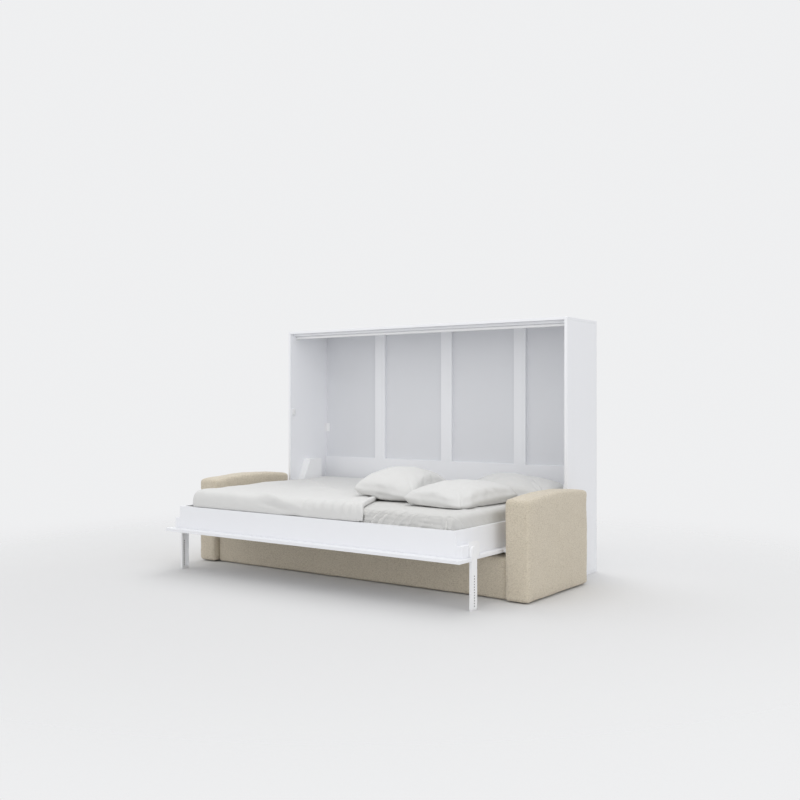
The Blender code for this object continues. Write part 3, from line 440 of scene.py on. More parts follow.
class PatternBook:
    """Node groups that several finishes share: each puts out a colour, a roughness and a height."""

    SIZES = ("Scale", "Stretch", "Contrast", "Roughness", "Spread")
    ROW_SQUEEZE = (1.0, 1.0, 1.75)
    CURLS_TO_A_KNOT = 2.6

    def __init__(self) -> None:
        """Start with no group made."""
        self.groups: dict[Pattern, bpy.types.NodeTree] = {}

    def group(self, pattern: Pattern) -> bpy.types.NodeTree:
        """Give the pattern's node group, made on first use.

        Args:
            pattern: the pattern that is wanted.

        Returns:
            The pattern's node tree.
        """
        if pattern not in self.groups:
            self.groups[pattern] = self._make(pattern)
        return self.groups[pattern]

    def _make(self, pattern: Pattern) -> bpy.types.NodeTree:
        """Build the sockets and nodes of one pattern.

        Args:
            pattern: the pattern that is built.

        Returns:
            The new node tree.
        """
        tree = bpy.data.node_groups.new(f"pattern_{pattern.value}", "ShaderNodeTree")
        sockets = (("Place", "INPUT", "Vector"), ("Light", "INPUT", "Color"),
                   ("Dark", "INPUT", "Color"), *((name, "INPUT", "Float") for name in self.SIZES),
                   ("Color", "OUTPUT", "Color"), ("Roughness", "OUTPUT", "Float"),
                   ("Height", "OUTPUT", "Float"))
        for name, side, kind in sockets:
            tree.interface.new_socket(name, in_out=side, socket_type=f"NodeSocket{kind}")
        wires = Wiring(tree)
        given = wires.add("NodeGroupInput").outputs
        makers: dict[Pattern, Callable] = {
            Pattern.SPECKLE: self._speckle, Pattern.GRAIN: self._grain,
            Pattern.WEAVE: self._weave, Pattern.LOOPS: self._loops}
        height, tone = makers[pattern](wires, given)
        share = wires.add("ShaderNodeClamp", {0: wires.times(tone, given["Contrast"])}).outputs[0]
        colour = wires.mix(share, given["Light"], given["Dark"])
        rough = wires.math("ADD", given["Roughness"], wires.times(tone, given["Spread"]))
        wires.add("NodeGroupOutput", {"Color": colour, "Roughness": rough, "Height": height})
        return tree

    @staticmethod
    def _stretched(wires: Wiring, given: Any) -> Socket:
        """Give the place with its X squeezed by the stretch, so that marks run along X.

        Args:
            wires: wiring of the group's tree.
            given: the group's inputs.

        Returns:
            The socket of the stretched place.
        """
        parts = wires.add("ShaderNodeSeparateXYZ", {0: given["Place"]}).outputs
        slow = wires.math("DIVIDE", parts[0], given["Stretch"])
        return wires.add("ShaderNodeCombineXYZ", {0: slow, 1: parts[1], 2: parts[2]}).outputs[0]

    @staticmethod
    def _speckle(wires: Wiring, given: Any) -> tuple:
        """Fine even texture of lacquer, laminate and plastic, with a slow change of tone.

        Args:
            wires: wiring of the group's tree.
            given: the group's inputs.

        Returns:
            The sockets of the height and of the tone.
        """
        fine = wires.noise(PatternBook._stretched(wires, given), given["Scale"], 2.0)
        slow = wires.noise(given["Place"], 2.3, 4.0)
        return fine, wires.weighted((fine, 0.35), (slow, 0.65))

    @staticmethod
    def _grain(wires: Wiring, given: Any) -> tuple:
        """Wood grain along X: long fibres over slow rings.

        Args:
            wires: wiring of the group's tree.
            given: the group's inputs.

        Returns:
            The sockets of the height and of the tone.
        """
        place = PatternBook._stretched(wires, given)
        fibres = wires.noise(place, given["Scale"], 6.0)
        bend = wires.noise(place, wires.times(given["Scale"], 0.12))
        rings = wires.math("FRACT", wires.times(bend, 7.0))
        return fibres, wires.weighted((fibres, 0.6), (rings, 0.4))

    @staticmethod
    def _weave(wires: Wiring, given: Any) -> tuple:
        """Plain weave: warp and weft pass over each other, with slubs, painted shade in the gaps
        between threads and a slow change of tone.

        Args:
            wires: wiring of the group's tree.
            given: the group's inputs.

        Returns:
            The sockets of the height and of the tone.
        """
        parts = wires.add("ShaderNodeSeparateXYZ", {0: given["Place"]}).outputs
        turn = wires.times(given["Scale"], math.pi)
        slub = wires.noise(given["Place"], wires.times(given["Scale"], 0.08), 2.0)
        warp, weft = (wires.math("ABSOLUTE", wires.math("SINE", wires.times(part, turn)))
                      for part in (parts[0], parts[1]))
        threads = wires.times(wires.math("ADD", warp, weft), 0.5)
        slow = wires.noise(given["Place"], 3.1, 5.0)
        # painted shade: the gaps between the threads get the darker tone
        gap_shade = wires.math("SUBTRACT", 1.0, threads)
        return (wires.weighted((threads, 0.7), (slub, 0.3)),
                wires.weighted((gap_shade, 0.3), (slub, 0.3), (slow, 0.4)))

    @staticmethod
    def _loops(wires: Wiring, given: Any) -> tuple:
        """Looped pile: curls of yarn in uneven knots that lie in rows, with painted shade that
        darkens the hollows between them.

        Args:
            wires: wiring of the group's tree.
            given: the group's inputs.

        Returns:
            The sockets of the height and of the tone.
        """
        laid = wires.add("ShaderNodeVectorMath", {0: given["Place"], 1: PatternBook.ROW_SQUEEZE},
                         operation="MULTIPLY").outputs["Vector"]
        scale = given["Scale"]
        shift = wires.add("ShaderNodeTexNoise", {"Vector": laid, "Detail": 2.0,
                                                 "Scale": wires.times(scale, 0.6)})
        warped = wires.mix(0.010, laid, shift.outputs["Color"], "ADD")
        knots = wires.add("ShaderNodeTexVoronoi", {
            "Vector": warped, "Scale": scale, "Smoothness": 0.25}, feature="SMOOTH_F1")
        curls = wires.add("ShaderNodeTexVoronoi", {
            "Vector": warped, "Scale": wires.times(scale, PatternBook.CURLS_TO_A_KNOT)})
        bump, curl = (wires.math("SUBTRACT", 1.0, cells.outputs["Distance"])
                      for cells in (knots, curls))
        height = wires.weighted((bump, 0.7), (curl, 0.3))
        slow = wires.noise(given["Place"], 9.0, 4.0)
        patch = wires.noise(laid, wires.times(scale, 0.45), 2.0)
        # tone: painted shade, darker where the loops' height is low in the hollows between knots,
        # plus slow and patchy changes of the yarn's own tone
        return height, wires.weighted((wires.math("SUBTRACT", 0.82, height), 1.9), (slow, 0.30),
                                      (wires.math("SUBTRACT", patch, 0.5), 0.55))


BOOK = PatternBook()


@dataclass(frozen=True)
class Finish:
    """A finish: the record's slot it stands for, its two tones and its pattern's numbers."""

    slot: str
    pattern: Pattern
    light: Colour
    dark: Colour
    roughness: float
    scale: float
    relief: float
    stretch: float = 1.0
    contrast: float = 0.6
    spread: float = 0.08
    metallic: float = 0.0
    sheen: float = 0.0
    coat: float = 0.0
    on_cloth: bool = False
    # suffix of a darker copy of a slot's finish; the sheet's copy holds painted shade
    shade: str = ""

    def material(self) -> bpy.types.Material:
        """Give the finish's material, made on first use.

        Returns:
            The material.
        """
        name = f"finish_{self.slot}_{'cloth' if self.on_cloth else 'solid'}{self.shade}"
        if name in bpy.data.materials:
            return bpy.data.materials[name]
        made, wires = new_material(name)
        place = wires.add("ShaderNodeTexCoord").outputs["UV" if self.on_cloth else "Object"]
        values = {"Place": place, "Light": (*self.light, 1), "Dark": (*self.dark, 1),
                  "Scale": self.scale, "Stretch": self.stretch, "Contrast": self.contrast,
                  "Roughness": self.roughness, "Spread": self.spread}
        pattern = wires.add("ShaderNodeGroup", values, node_tree=BOOK.group(self.pattern))
        bump = wires.add("ShaderNodeBump", {"Height": pattern.outputs["Height"],
                                            "Distance": self.relief, "Strength": 0.8})
        shader = wires.add("ShaderNodeBsdfPrincipled", {
            "Base Color": pattern.outputs["Color"], "Roughness": pattern.outputs["Roughness"],
            "Normal": bump.outputs["Normal"], "Metallic": self.metallic, "Sheen Weight": self.sheen,
            "Sheen Roughness": 0.5, "Coat Weight": self.coat, "Coat Roughness": 0.25})
        wires.add("ShaderNodeOutputMaterial", {"Surface": shader.outputs[0]})
        return made


def new_material(name: str) -> tuple[bpy.types.Material, Wiring]:
    """Make a material with an empty node tree, and the wiring for it.

    Args:
        name: name of the material.

    Returns:
        The material and its wiring.
    """
    made = bpy.data.materials.new(name)
    made.use_nodes = True
    made.node_tree.nodes.clear()
    return made, Wiring(made.node_tree)


WHITE_LAMINATE = Finish("white_laminate", Pattern.SPECKLE, (0.905, 0.913, 0.940),
                        (0.87, 0.88, 0.905), 0.42, 520.0, 0.00006, contrast=0.35, coat=0.12)
GREY_BACK = Finish("grey_hardboard", Pattern.SPECKLE, (0.79, 0.80, 0.83), (0.74, 0.75, 0.78),
                   0.62, 900.0, 0.0001, stretch=3.0)
WHITE_STEEL = Finish("white_steel", Pattern.SPECKLE, (0.93, 0.935, 0.945), (0.90, 0.905, 0.915),
                     0.38, 1300.0, 0.00008, contrast=0.4, coat=0.2)
WHITE_PLASTIC = Finish("white_plastic", Pattern.SPECKLE, (0.83, 0.83, 0.84), (0.76, 0.76, 0.77),
                       0.45, 2100.0, 0.00004, contrast=0.4)
BRIGHT_STEEL = Finish("bright_steel", Pattern.SPECKLE, (0.66, 0.67, 0.69), (0.50, 0.51, 0.53),
                      0.28, 420.0, 0.00004, stretch=14.0, contrast=0.9, spread=0.18, metallic=1.0)
# Black plastic of the glides and of the record's black parts; the legs' dark hole plugs also use
# it, as painted shade
BLACK_PLASTIC_AND_HOLE_SHADE = Finish("black_plastic", Pattern.SPECKLE, (0.030, 0.030, 0.031),
                       (0.018, 0.018, 0.019), 0.42, 1800.0, 0.00005)
BIRCH = Finish("birch", Pattern.GRAIN, (0.76, 0.62, 0.43), (0.58, 0.42, 0.25),
               0.52, 260.0, 0.0001, stretch=18.0, contrast=0.8)
TICKING = Finish("mattress_cover", Pattern.WEAVE, (0.84, 0.835, 0.81), (0.76, 0.755, 0.73),
                 0.9, 900.0, 0.0003, contrast=0.5, sheen=0.1)
BED_LINEN = Finish("bed_linen", Pattern.WEAVE, (0.735, 0.733, 0.722), (0.670, 0.667, 0.652),
                   0.88, 820.0, 0.0003, contrast=0.4, sheen=0.15, on_cloth=True)
# The sheet's copy of the bed linen is darker: partly the sheet's own tone, partly painted shade of
# the pillows and of the bed's front faces
SHADED_SHEET_LINEN = Finish("bed_linen", Pattern.WEAVE, (0.665, 0.661, 0.646), (0.605, 0.600, 0.582),
                     0.88, 820.0, 0.0003, contrast=0.4, sheen=0.15, on_cloth=True, shade="sheet")
# Bouclé: its dark tone serves both the painted shade in the hollows between the loops and the
# yarn's slow changes of tone
BOUCLE = Finish("boucle", Pattern.LOOPS, (0.775, 0.702, 0.570), (0.522, 0.456, 0.353),
                0.95, 118.0, 0.0035, contrast=0.62, sheen=0.25)


def dress(piece: Piece, finish: Finish) -> None:
    """Give a piece or node one finish."""
    piece.data.materials.clear()
    piece.data.materials.append(finish.material())


def seat(piece: Piece, body: str, finish: Finish, *nodes: str) -> Piece:
    """Finish a new piece, tie it to its body and hide the nodes that it replaces.

    Args:
        piece: the new piece, in place.
        body: the body it moves with.
        finish: its finish.
        nodes: the nodes that it replaces.

    Returns:
        The same piece.
    """
    dress(piece, finish)
    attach(piece, body)
    if nodes:
        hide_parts(*nodes)
    LOG.info("%s: %d faces on %s", piece.name, len(piece.data.polygons), body)
    return piece


@dataclass
class ClothRun:
    """Settings of one cloth simulation."""

    frames: int = 20
    pressure: float = 0.0
    gravity: float = 0.0
    growth: float = 0.0
    stiffness: float = 15.0
    bending: float = 0.5
    mass: float = 0.3
    quality: int = 5
    collide: bool = False
    gap: float = 0.003
    cap: float = 0.03

    def settle(self, piece: Piece) -> None:
        """Run the cloth and keep its last frame, with each point within the cap of its start.

        Args:
            piece: the object that is simulated.
        """
        before = read_points(piece)
        cloth = piece.modifiers.new("Cloth", "CLOTH")
        values = cloth.settings
        values.quality = self.quality
        values.mass = self.mass
        values.tension_stiffness = values.compression_stiffness = self.stiffness
        values.shear_stiffness = self.stiffness / 2
        values.bending_stiffness = self.bending
        values.effector_weights.gravity = self.gravity
        values.shrink_min = -self.growth
        values.use_pressure = self.pressure > 0
        values.uniform_pressure_force = self.pressure
        cloth.collision_settings.use_collision = self.collide
        cloth.collision_settings.distance_min = self.gap
        cloth.collision_settings.collision_quality = 3
        cloth.point_cache.frame_end = self.frames
        scene = bpy.context.scene
        for frame in range(1, self.frames + 1):
            scene.frame_set(frame)
        posed = piece.evaluated_get(bpy.context.evaluated_depsgraph_get()).to_mesh()
        after = np.zeros(len(posed.vertices) * 3, np.float32)
        posed.vertices.foreach_get("co", after)
        piece.modifiers.remove(cloth)
        scene.frame_set(1)
        move = after.reshape(-1, 3) - before
        length = np.linalg.norm(move, axis=1, keepdims=True)
        write_points(piece, before + move * np.minimum(1.0, self.cap / np.maximum(length, 1e-9)))


@dataclass
class Sofa:
    """Upholstered arms and seat platform, each a padded cover with its seams, on plastic glides."""

    arm_voxel: float = 0.0075
    arm_cap: float = 0.0035
    seat_voxel: float = 0.012
    seat_cap: float = 0.005
    swell: float = 0.0012
    seam_inset: float = 0.021
    seam_width: float = 0.0030
    seam_depth: float = 0.0020
    band_limit: float = 0.85
    pucker_width: float = 0.016
    pucker: Layer = (0.0007, 0.045, 4.1)
    pile: tuple[Layer, ...] = ((0.0005, 0.011, 2.7), (0.0012, 0.16, 5.3))
    glide_radius: float = 0.020
    glide_height: float = 0.0026
    glide_inset: float = 0.070
    underside: float = 0.0020
    crown_height: float = 0.573
    crown_setback: float = 0.327
    crown_from: float = 0.55
    crown_blend: float = 0.35
    front_raise: float = 0.019
    back_raise: float = 0.012
    crown_press: float = 0.007

    def build(self) -> None:
        """Make both arms, the seat and the glides."""
        for _, word in SIDES:
            node = f"sofa_arm_{word}"
            arm = self._padding(node, f"arm_cover_{word}", self.arm_voxel, self.arm_cap)
            self._settle_crown(arm)
            self._arm_seams(arm)
            self._finish(arm, node)
        platform = self._padding("sofa_seat", "seat_cover", self.seat_voxel, self.seat_cap)
        self._seat_seams(platform)
        self._finish(platform, "sofa_seat")
        self._glides()

    def _padding(self, node: str, name: str, voxel: float, cap: float) -> Piece:
        """Copy a solid without its glides, remesh it and let cloth swell over its padding.

        Args:
            node: the solid that is covered.
            name: name of the cover.
            voxel: size of a quad in metres.
            cap: how far the cloth may swell, in metres.

        Returns:
            The cover.
        """
        cover = copy_of_node(node, name)
        cut_below(cover, self.underside, close=True)
        remesh(cover, voxel)
        push_out(cover, self.swell)
        ClothRun(pressure=4.0, cap=cap, stiffness=25.0).settle(cover)
        lift_to(cover, self.underside)
        subdivide(cover)
        return cover

    def _settle_crown(self, arm: Piece) -> None:
        """Press an arm's crown down a little and fill its ends out, as its padding has settled.

        Args:
            arm: the arm's cover.
        """
        places = read_points(arm)
        low, high = places[:, 1].min(), places[:, 1].max()
        crown = high - self.crown_setback
        ahead = np.clip((crown - places[:, 1]) / (crown - low), 0, 1) ** 2 * self.front_raise
        behind = np.clip((places[:, 1] - crown) / (high - crown), 0, 1) ** 2 * self.back_raise
        height = places[:, 2] / self.crown_height
        share = np.clip((height - self.crown_from) / self.crown_blend, 0, 1)
        places[:, 2] += (ahead + behind - self.crown_press) * share * share * (3 - 2 * share)
        write_points(arm, places)

    def _groove(self, cover: Piece, distance: np.ndarray) -> None:
        """Sink a sewn seam where the distance is small, with a slight pucker beside it.

        Args:
            cover: the cover that is sewn.
            distance: how far each vertex lies from the seam.
        """
        dip = np.exp(-(distance / self.seam_width) ** 2)
        beside = np.exp(-(distance / self.pucker_width) ** 2)
        pucker = beside * uneven(read_points(cover), self.pucker)
        push_out(cover, pucker - self.seam_depth * dip)

    def _arm_seams(self, arm: Piece) -> None:
        """Sew the two side panels to the band that goes over the arm.

        Args:
            arm: the arm's cover.
        """
        places = read_points(arm)
        low, high = places[:, 0].min(), places[:, 0].max()
        inner = np.abs(places[:, 0] - (low + self.seam_inset))
        outer = np.abs(places[:, 0] - (high - self.seam_inset))
        on_band = np.abs(read_normals(arm)[:, 0]) < self.band_limit
        self._groove(arm, np.where(on_band, np.minimum(inner, outer), 1.0))

    def _seat_seams(self, platform: Piece) -> None:
        """Sew the seat's top panel to its front band."""
        heights = read_points(platform)[:, 2]
        self._groove(platform, np.abs(heights - (heights.max() - self.seam_inset)))

    def _finish(self, cover: Piece, node: str) -> None:
        """Add the pile's uneven surface, then finish and seat the cover.

        Args:
            cover: the finished cover.
            node: the solid that it stands for.
        """
        push_out(cover, uneven(read_points(cover), *self.pile))
        lift_to(cover, self.underside / 2)
        smooth(cover)
        seat(cover, "cabinet", BOUCLE, node)

    def _glides(self) -> None:
        """Turn one glide with a foot rim and copy it to the places under the arms and the seat."""
        spots = []
        for node in ("sofa_arm_left", "sofa_seat", "sofa_arm_right"):
            low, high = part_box(node)
            across = ((low.x + high.x) / 2,) if "arm" in node else (low.x / 2, high.x / 2)
            spots += [Matrix.Translation((x, y, 0)) for x in across
                      for y in (low.y + self.glide_inset, high.y - self.glide_inset)]
        glide = turned_piece(self.glide_radius, self.glide_height, sides=28, edge=0.0010,
                             segments=3, location=(0, 0, self.glide_height / 2))
        seat(merge_copies("sofa_glides", glide, spots), "cabinet", BLACK_PLASTIC_AND_HOLE_SHADE)


@dataclass(frozen=True)
class Crease:
    """A fold in cloth: a ridge, or with a negative height a valley, along a tapering line."""

    start: tuple[float, float]
    end: tuple[float, float]
    width: float
    height: float

    def lift(self, a: np.ndarray, b: np.ndarray) -> np.ndarray:
        """Give the height in metres that the fold adds at each place (a, b) of the cloth.

        Args:
            a: first coordinate of each place.
            b: second coordinate of each place.

        Returns:
            The lift in metres.
        """
        run = np.array(self.end) - np.array(self.start)
        length = float(np.hypot(*run))
        along = ((a - self.start[0]) * run[0] + (b - self.start[1]) * run[1]) / length
        across = ((a - self.start[0]) * run[1] - (b - self.start[1]) * run[0]) / length
        share = np.clip(along / length, 0, 1)
        past = along - share * length
        taper = np.sin(math.pi * np.clip(share, 0.02, 0.98)) ** 0.6
        return self.height * taper * np.exp(-(np.hypot(across, past) / self.width) ** 2)


def fold_lines(*rows: tuple[float, ...]) -> tuple[Crease, ...]:
    """Make folds from rows of start (two numbers), end (two numbers), width and height."""
    return tuple(Crease(row[:2], row[2:4], *row[4:]) for row in rows)


def round_plan_corner(places: np.ndarray, corner: Sequence[float], radius: float,
                      sharp: float) -> None:
    """Draw a block's front left corner in, so that its plan turns round a larger radius.

    Args:
        places: rows of points, changed in place.
        corner: x and y of the block's front left corner.
        radius: the radius wanted, in metres.
        sharp: the radius that the corner has already.
    """
    out = np.array([corner[0] + radius, corner[1] + radius]) - places[:, :2]
    reach = np.hypot(out[:, 0], out[:, 1])
    near = (out[:, 0] > 0) & (out[:, 1] > 0) & (reach > 1e-6)
    cosine, sine = out[near, 0] / reach[near], out[near, 1] / reach[near]
    inner = radius - sharp
    total = cosine + sine
    square = (inner * total) ** 2 - 2 * inner ** 2 + sharp ** 2
    on_arc = inner * total + np.sqrt(np.maximum(square, 0))
    steep = np.maximum(cosine, sine)
    on_side = np.minimum(cosine, sine) / steep * radius <= inner
    edge = np.where(on_side, radius / steep, on_arc)
    places[near, :2] += out[near] * (1 - radius / edge)[:, None]


@dataclass
class FittedSheet:
    """Foam core and the sheet stretched over it, with the folds that its corners pull."""

    core_voxel: float = 0.020
    core_inset: float = 0.0030
    voxel: float = 0.0120
    thickness: float = 0.0012
    sink: float = 0.0004
    hem: float = 0.020
    corner_radius: float = 0.165
    corner_radius_before: float = 0.070
    flat: tuple[float, float] = (2.48, 1.88)
    corner_cut: float = 0.22
    tuck_share: float = 0.7
    fine_from: float = 0.36
    fine_depth: float = 0.075
    sway: Layer = (0.007, 0.07, 1.3)
    pull: tuple = ((0.9, 0.0), (0.5, 2.4), (0.5, 2.4))
    pulled: Layer = (0.0013, 0.060, 6.2)
    slack: Layer = (0.0014, 0.30, 7.7)
    edge_depth: float = 0.05
    fine_on_top: float = 0.6
    fine_at_edge: float = 0.8
    creases: tuple[Crease, ...] = fold_lines(
        (0.972, 0.010, 0.955, -0.120, 0.0055, 0.0075),
        (0.955, 0.014, 0.936, -0.120, 0.0050, -0.0070),
        (0.938, 0.010, 0.912, -0.120, 0.0065, 0.0070),
        (0.975, 0.030, 0.700, 0.075, 0.014, 0.0055),
        (0.960, 0.055, 0.760, 0.150, 0.014, 0.0055),
        (0.645, 0.050, 0.500, -0.110, 0.0075, 0.0085),
        (0.612, 0.040, 0.480, -0.110, 0.0060, -0.0060),
        (0.585, 0.055, 0.445, -0.110, 0.0070, 0.0080),
        (0.545, 0.030, 0.425, -0.110, 0.0060, -0.0050),
        (0.700, 0.030, 0.560, -0.110, 0.0060, 0.0070),
        (0.745, 0.010, 0.605, -0.110, 0.0060, 0.0055),
        (0.790, 0.020, 0.660, -0.110, 0.0070, 0.0060),
        (0.850, 0.010, 0.750, -0.110, 0.0080, 0.0050),
        (0.500, 0.050, 0.405, -0.100, 0.0070, 0.0065),
        (0.880, 0.110, 0.560, 0.080, 0.018, 0.0045),
        (0.985, 0.300, 0.880, 0.420, 0.016, 0.0055),
        (0.985, 0.200, 0.850, 0.290, 0.014, 0.0055),
        (0.990, 0.160, 0.860, 0.240, 0.020, 0.0040))

    def build(self) -> None:
        """Make the core and the sheet over it."""
        core = copy_of_node("mattress", "mattress_core")
        remesh(core, self.core_voxel)
        places = read_points(core) - self.core_inset * read_normals(core)
        self.draw_in(places)
        write_points(core, places)
        subdivide(core)
        smooth(core)
        seat(core, "bed", TICKING, "mattress")
        sheet = self._sheet()
        # the sheet gets the darker copy of the linen, with painted shade in it
        seat(sheet, "bed", SHADED_SHEET_LINEN)

    def draw_in(self, places: np.ndarray) -> None:
        """Round the front left corner, where the duvet squeezes the mattress."""
        low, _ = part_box("mattress")
        round_plan_corner(places, (low.x, low.y), self.corner_radius, self.corner_radius_before)

    def _sheet(self) -> Piece:
        """Remesh a copy of the mattress, open it underneath and raise its folds.

        Returns:
            The sheet, with its flat place as UV.
        """
        low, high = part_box("mattress")
        sheet = copy_of_node("mattress", "fitted_sheet")
        remesh(sheet, self.voxel)
        cut_below(sheet, low.z + self.hem, close=False)
        self._refine(sheet, low)
        places = read_points(sheet)
        down = high.z - places[:, 2]
        depth = places[:, 1] - low.y - down
        across = places[:, 0] + uneven(places, self.sway)
        lift = sum(crease.lift(across, depth) for crease in self.creases)
        fine = uneven(places @ np.array(self.pull), self.pulled) + uneven(places, self.slack)
        edge = np.clip(down / self.edge_depth, 0, 1)
        lift = lift + fine * (self.fine_on_top + self.fine_at_edge * edge)
        places += read_normals(sheet) * (lift - self.sink)[:, None]
        self.draw_in(places)
        write_points(sheet, places)
        apply_modifier(sheet, "SOLIDIFY", thickness=self.thickness, offset=-1.0)
        smooth(sheet)
        corners = np.zeros(len(sheet.data.loops), np.int32)
        sheet.data.loops.foreach_get("vertex_index", corners)
        spots = read_points(sheet)[corners]
        drop = (high.z - spots[:, 2])[:, None]
        set_uv(sheet.data, spots[:, :2] + np.sign(spots[:, :2]) * drop * self.tuck_share)
        return sheet

    def _refine(self, sheet: Piece, low: Vector) -> None:
        """Subdivide the sheet where the fine folds cross its front edge and its right corner.

        Args:
            sheet: the sheet that is refined.
            low: the mattress's lowest corner.
        """
        activate(sheet)
        bpy.ops.object.mode_set(mode="EDIT")
        bpy.ops.mesh.select_all(action="DESELECT")
        bpy.ops.mesh.select_mode(type="FACE")
        shape = bmesh.from_edit_mesh(sheet.data)
        for face in shape.faces:
            place = face.calc_center_median()
            face.select_set(place.x > self.fine_from and place.y < low.y + self.fine_depth)
        bmesh.update_edit_mesh(sheet.data)
        bpy.ops.mesh.subdivide(number_cuts=2, smoothness=1.0)
        bpy.ops.object.mode_set(mode="OBJECT")


@dataclass
class Duvet:
    """Thin duvet laid askew over the foot half: one layer of cloth, draped and then filled."""

    step: float = 0.0138
    top_fill: float = 0.0225
    side_fill: float = 0.0120
    hem_fill: float = 0.0265
    clearance: float = 0.0030
    edge_radius: float = 0.042
    corner_radius: float = 0.185
    hem_height: float = 0.4085
    hem_room: float = 0.001
    hem_roll: tuple = ((1.0, 0.016, 0.016), (-0.7, 0.044, 0.011))
    slant: float = 0.52
    growth: float = 0.030
    crowding: float = 0.45
    side_room: float = 0.0120
    front_room: float = 0.0035
    wall_softness: float = 0.0015
    turn_start: float = 0.002
    turn_depth: float = 0.04
    laid: Layer = (0.0015, 0.09, 3.3)
    filling: tuple[Layer, ...] = ((0.0030, 0.34, 8.2), (0.0012, 0.11, 9.4))
    valley_share: float = 0.4
    folds: tuple[Crease, ...] = fold_lines(
        (-0.48, 0.085, -0.16, -0.005, 0.024, 0.0170),
        (-0.24, -0.002, 0.03, -0.045, 0.014, 0.0170),
        (-0.36, -0.015, -0.02, -0.085, 0.010, -0.0200),
        (-0.32, -0.052, -0.10, -0.100, 0.011, 0.0110),
        (0.004, 0.130, 0.006, -0.085, 0.008, 0.0080),
        (-0.020, 0.130, -0.016, -0.085, 0.011, -0.0060),
        (0.070, 0.040, 0.095, -0.090, 0.011, 0.0060),
        (0.130, 0.070, 0.160, -0.090, 0.010, 0.0070),
        (0.200, 0.110, 0.228, -0.090, 0.009, 0.0090),
        (0.238, 0.080, 0.262, -0.090, 0.007, -0.0070),
        (0.270, 0.150, 0.295, -0.090, 0.008, 0.0105),
        (0.300, 0.110, 0.323, -0.090, 0.006, -0.0070),
        (0.328, 0.150, 0.350, -0.090, 0.007, 0.0105),
        (-0.87, 1.000, -0.28, 0.600, 0.030, 0.0130),
        (-0.50, 0.600, 0.10, 0.380, 0.040, 0.0110),
        (-0.95, 0.760, -0.50, 0.330, 0.055, 0.0090),
        (-0.05, 0.820, -0.30, 1.250, 0.045, 0.0090),
        (-0.70, 0.200, -0.52, -0.060, 0.040, 0.0060),
        (-0.88, 0.160, -0.80, -0.060, 0.026, 0.0055))

    def build(self) -> None:
        """Make the duvet and put it on the bed."""
        low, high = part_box("mattress")
        node_low, node_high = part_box("duvet")
        side_run, front_run = self._domain(low, high, node_low, node_high)
        flat = np.stack([side_run.ravel(), front_run.ravel()], 1)
        faces = grid_faces(*side_run.shape)
        under, normals = self._settled(flat, faces, low, high)
        depth = under[:, 1] - low.y - (high.z - under[:, 2])
        lift = sum(fold.lift(under[:, 0], depth) for fold in self.folds)
        lift = uneven(under, *self.filling, start=lift)
        lift = np.maximum(lift, -self.valley_share * self.top_fill)
        outer = under + normals * (self._fill(under, side_run, high) + lift)[:, None]
        wall = node_low.x - self.side_room
        past_wall = (outer[:, 0] - wall) / self.wall_softness
        outer[:, 0] = wall + self.wall_softness * np.logaddexp(0, past_wall)
        outer[:, 1] = np.maximum(outer[:, 1], node_low.y - self.front_room)
        for layer in (outer, under):
            layer[:, 2] = np.maximum(layer[:, 2], self.hem_height - self.hem_room)
        duvet = self._shell(under, outer, faces, flat, *side_run.shape)
        subdivide(duvet)
        smooth(duvet)
        seat(duvet, "bed", BED_LINEN, "duvet")

    def _settled(self, flat: np.ndarray, faces: np.ndarray, low: Vector, high: Vector) -> tuple:
        """Drape one layer of cloth, let it settle, and give its places and their normals.

        Args:
            flat: place of each point on the flat cloth.
            faces: corners of each face.
            low: the mattress's lowest corner.
            high: the mattress's highest corner.

        Returns:
            The settled places and their normals, a row each.
        """
        places = self._drape(flat[:, 0], flat[:, 1], low, high)
        cloth = new_piece("duvet_layer", places, faces)
        places[:, 2] += np.abs(uneven(places, self.laid))
        write_points(cloth, places)
        blocks = self._obstacles()
        ClothRun(frames=22, gravity=1.0, growth=self.growth, stiffness=12.0, bending=1.4, quality=6,
                 collide=True, cap=0.016).settle(cloth)
        settled = read_points(cloth), read_normals(cloth)
        for piece in (*blocks, cloth):
            bpy.data.objects.remove(piece)
        return settled

    def _fill(self, under: np.ndarray, side_run: np.ndarray, high: Vector) -> np.ndarray:
        """Give the filling's thickness: full on top, thin on the sides, rolled at the right hem.

        Args:
            under: places of the layer on the mattress.
            side_run: run of each point past the left turning line.
            high: the mattress's highest corner.

        Returns:
            One thickness for each point.
        """
        over = np.clip((high.z + self.turn_start - under[:, 2]) / self.turn_depth, 0, 1)
        fill = self.top_fill + (self.side_fill - self.top_fill) * over
        from_hem = (side_run - side_run[:, -1:]).ravel()
        roll = sum(share * np.exp(-((from_hem - place) / width) ** 2)
                   for share, place, width in self.hem_roll)
        return fill + (self.hem_fill - self.top_fill) * roll

    def _domain(self, low: Vector, high: Vector, node_low: Vector, node_high: Vector) -> tuple:
        """Give each grid point's run along the cloth past the left and the front turning line.

        Args:
            low: the mattress's lowest corner.
            high: the mattress's highest corner.
            node_low: the duvet solid's lowest corner.
            node_high: the duvet solid's highest corner.

        Returns:
            The side run and the front run, each laid out as the grid.
        """
        turn = self.edge_radius * math.pi / 2
        hang = high.z + self.clearance - self.edge_radius - self.hem_height
        left_line = low.x - self.clearance + self.edge_radius
        front_line = low.y - self.clearance + self.edge_radius
        front = np.linspace(front_line - node_high.y, turn + hang,
                            int((node_high.y - front_line + turn + hang) / self.step) + 1)
        y = front_line - np.minimum(front, self.edge_radius)
        right = node_high.x - self.slant * np.maximum(y - node_low.y, 0.0)
        width = right - left_line + turn + hang
        columns = int(width.max() / self.step) + 1
        share = np.linspace(0, 1, columns)
        share = share + self.crowding * share * (1 - share)
        side_run = turn + hang - share[None, :] * width[:, None]
        return side_run, np.repeat(front[:, None], columns, 1)

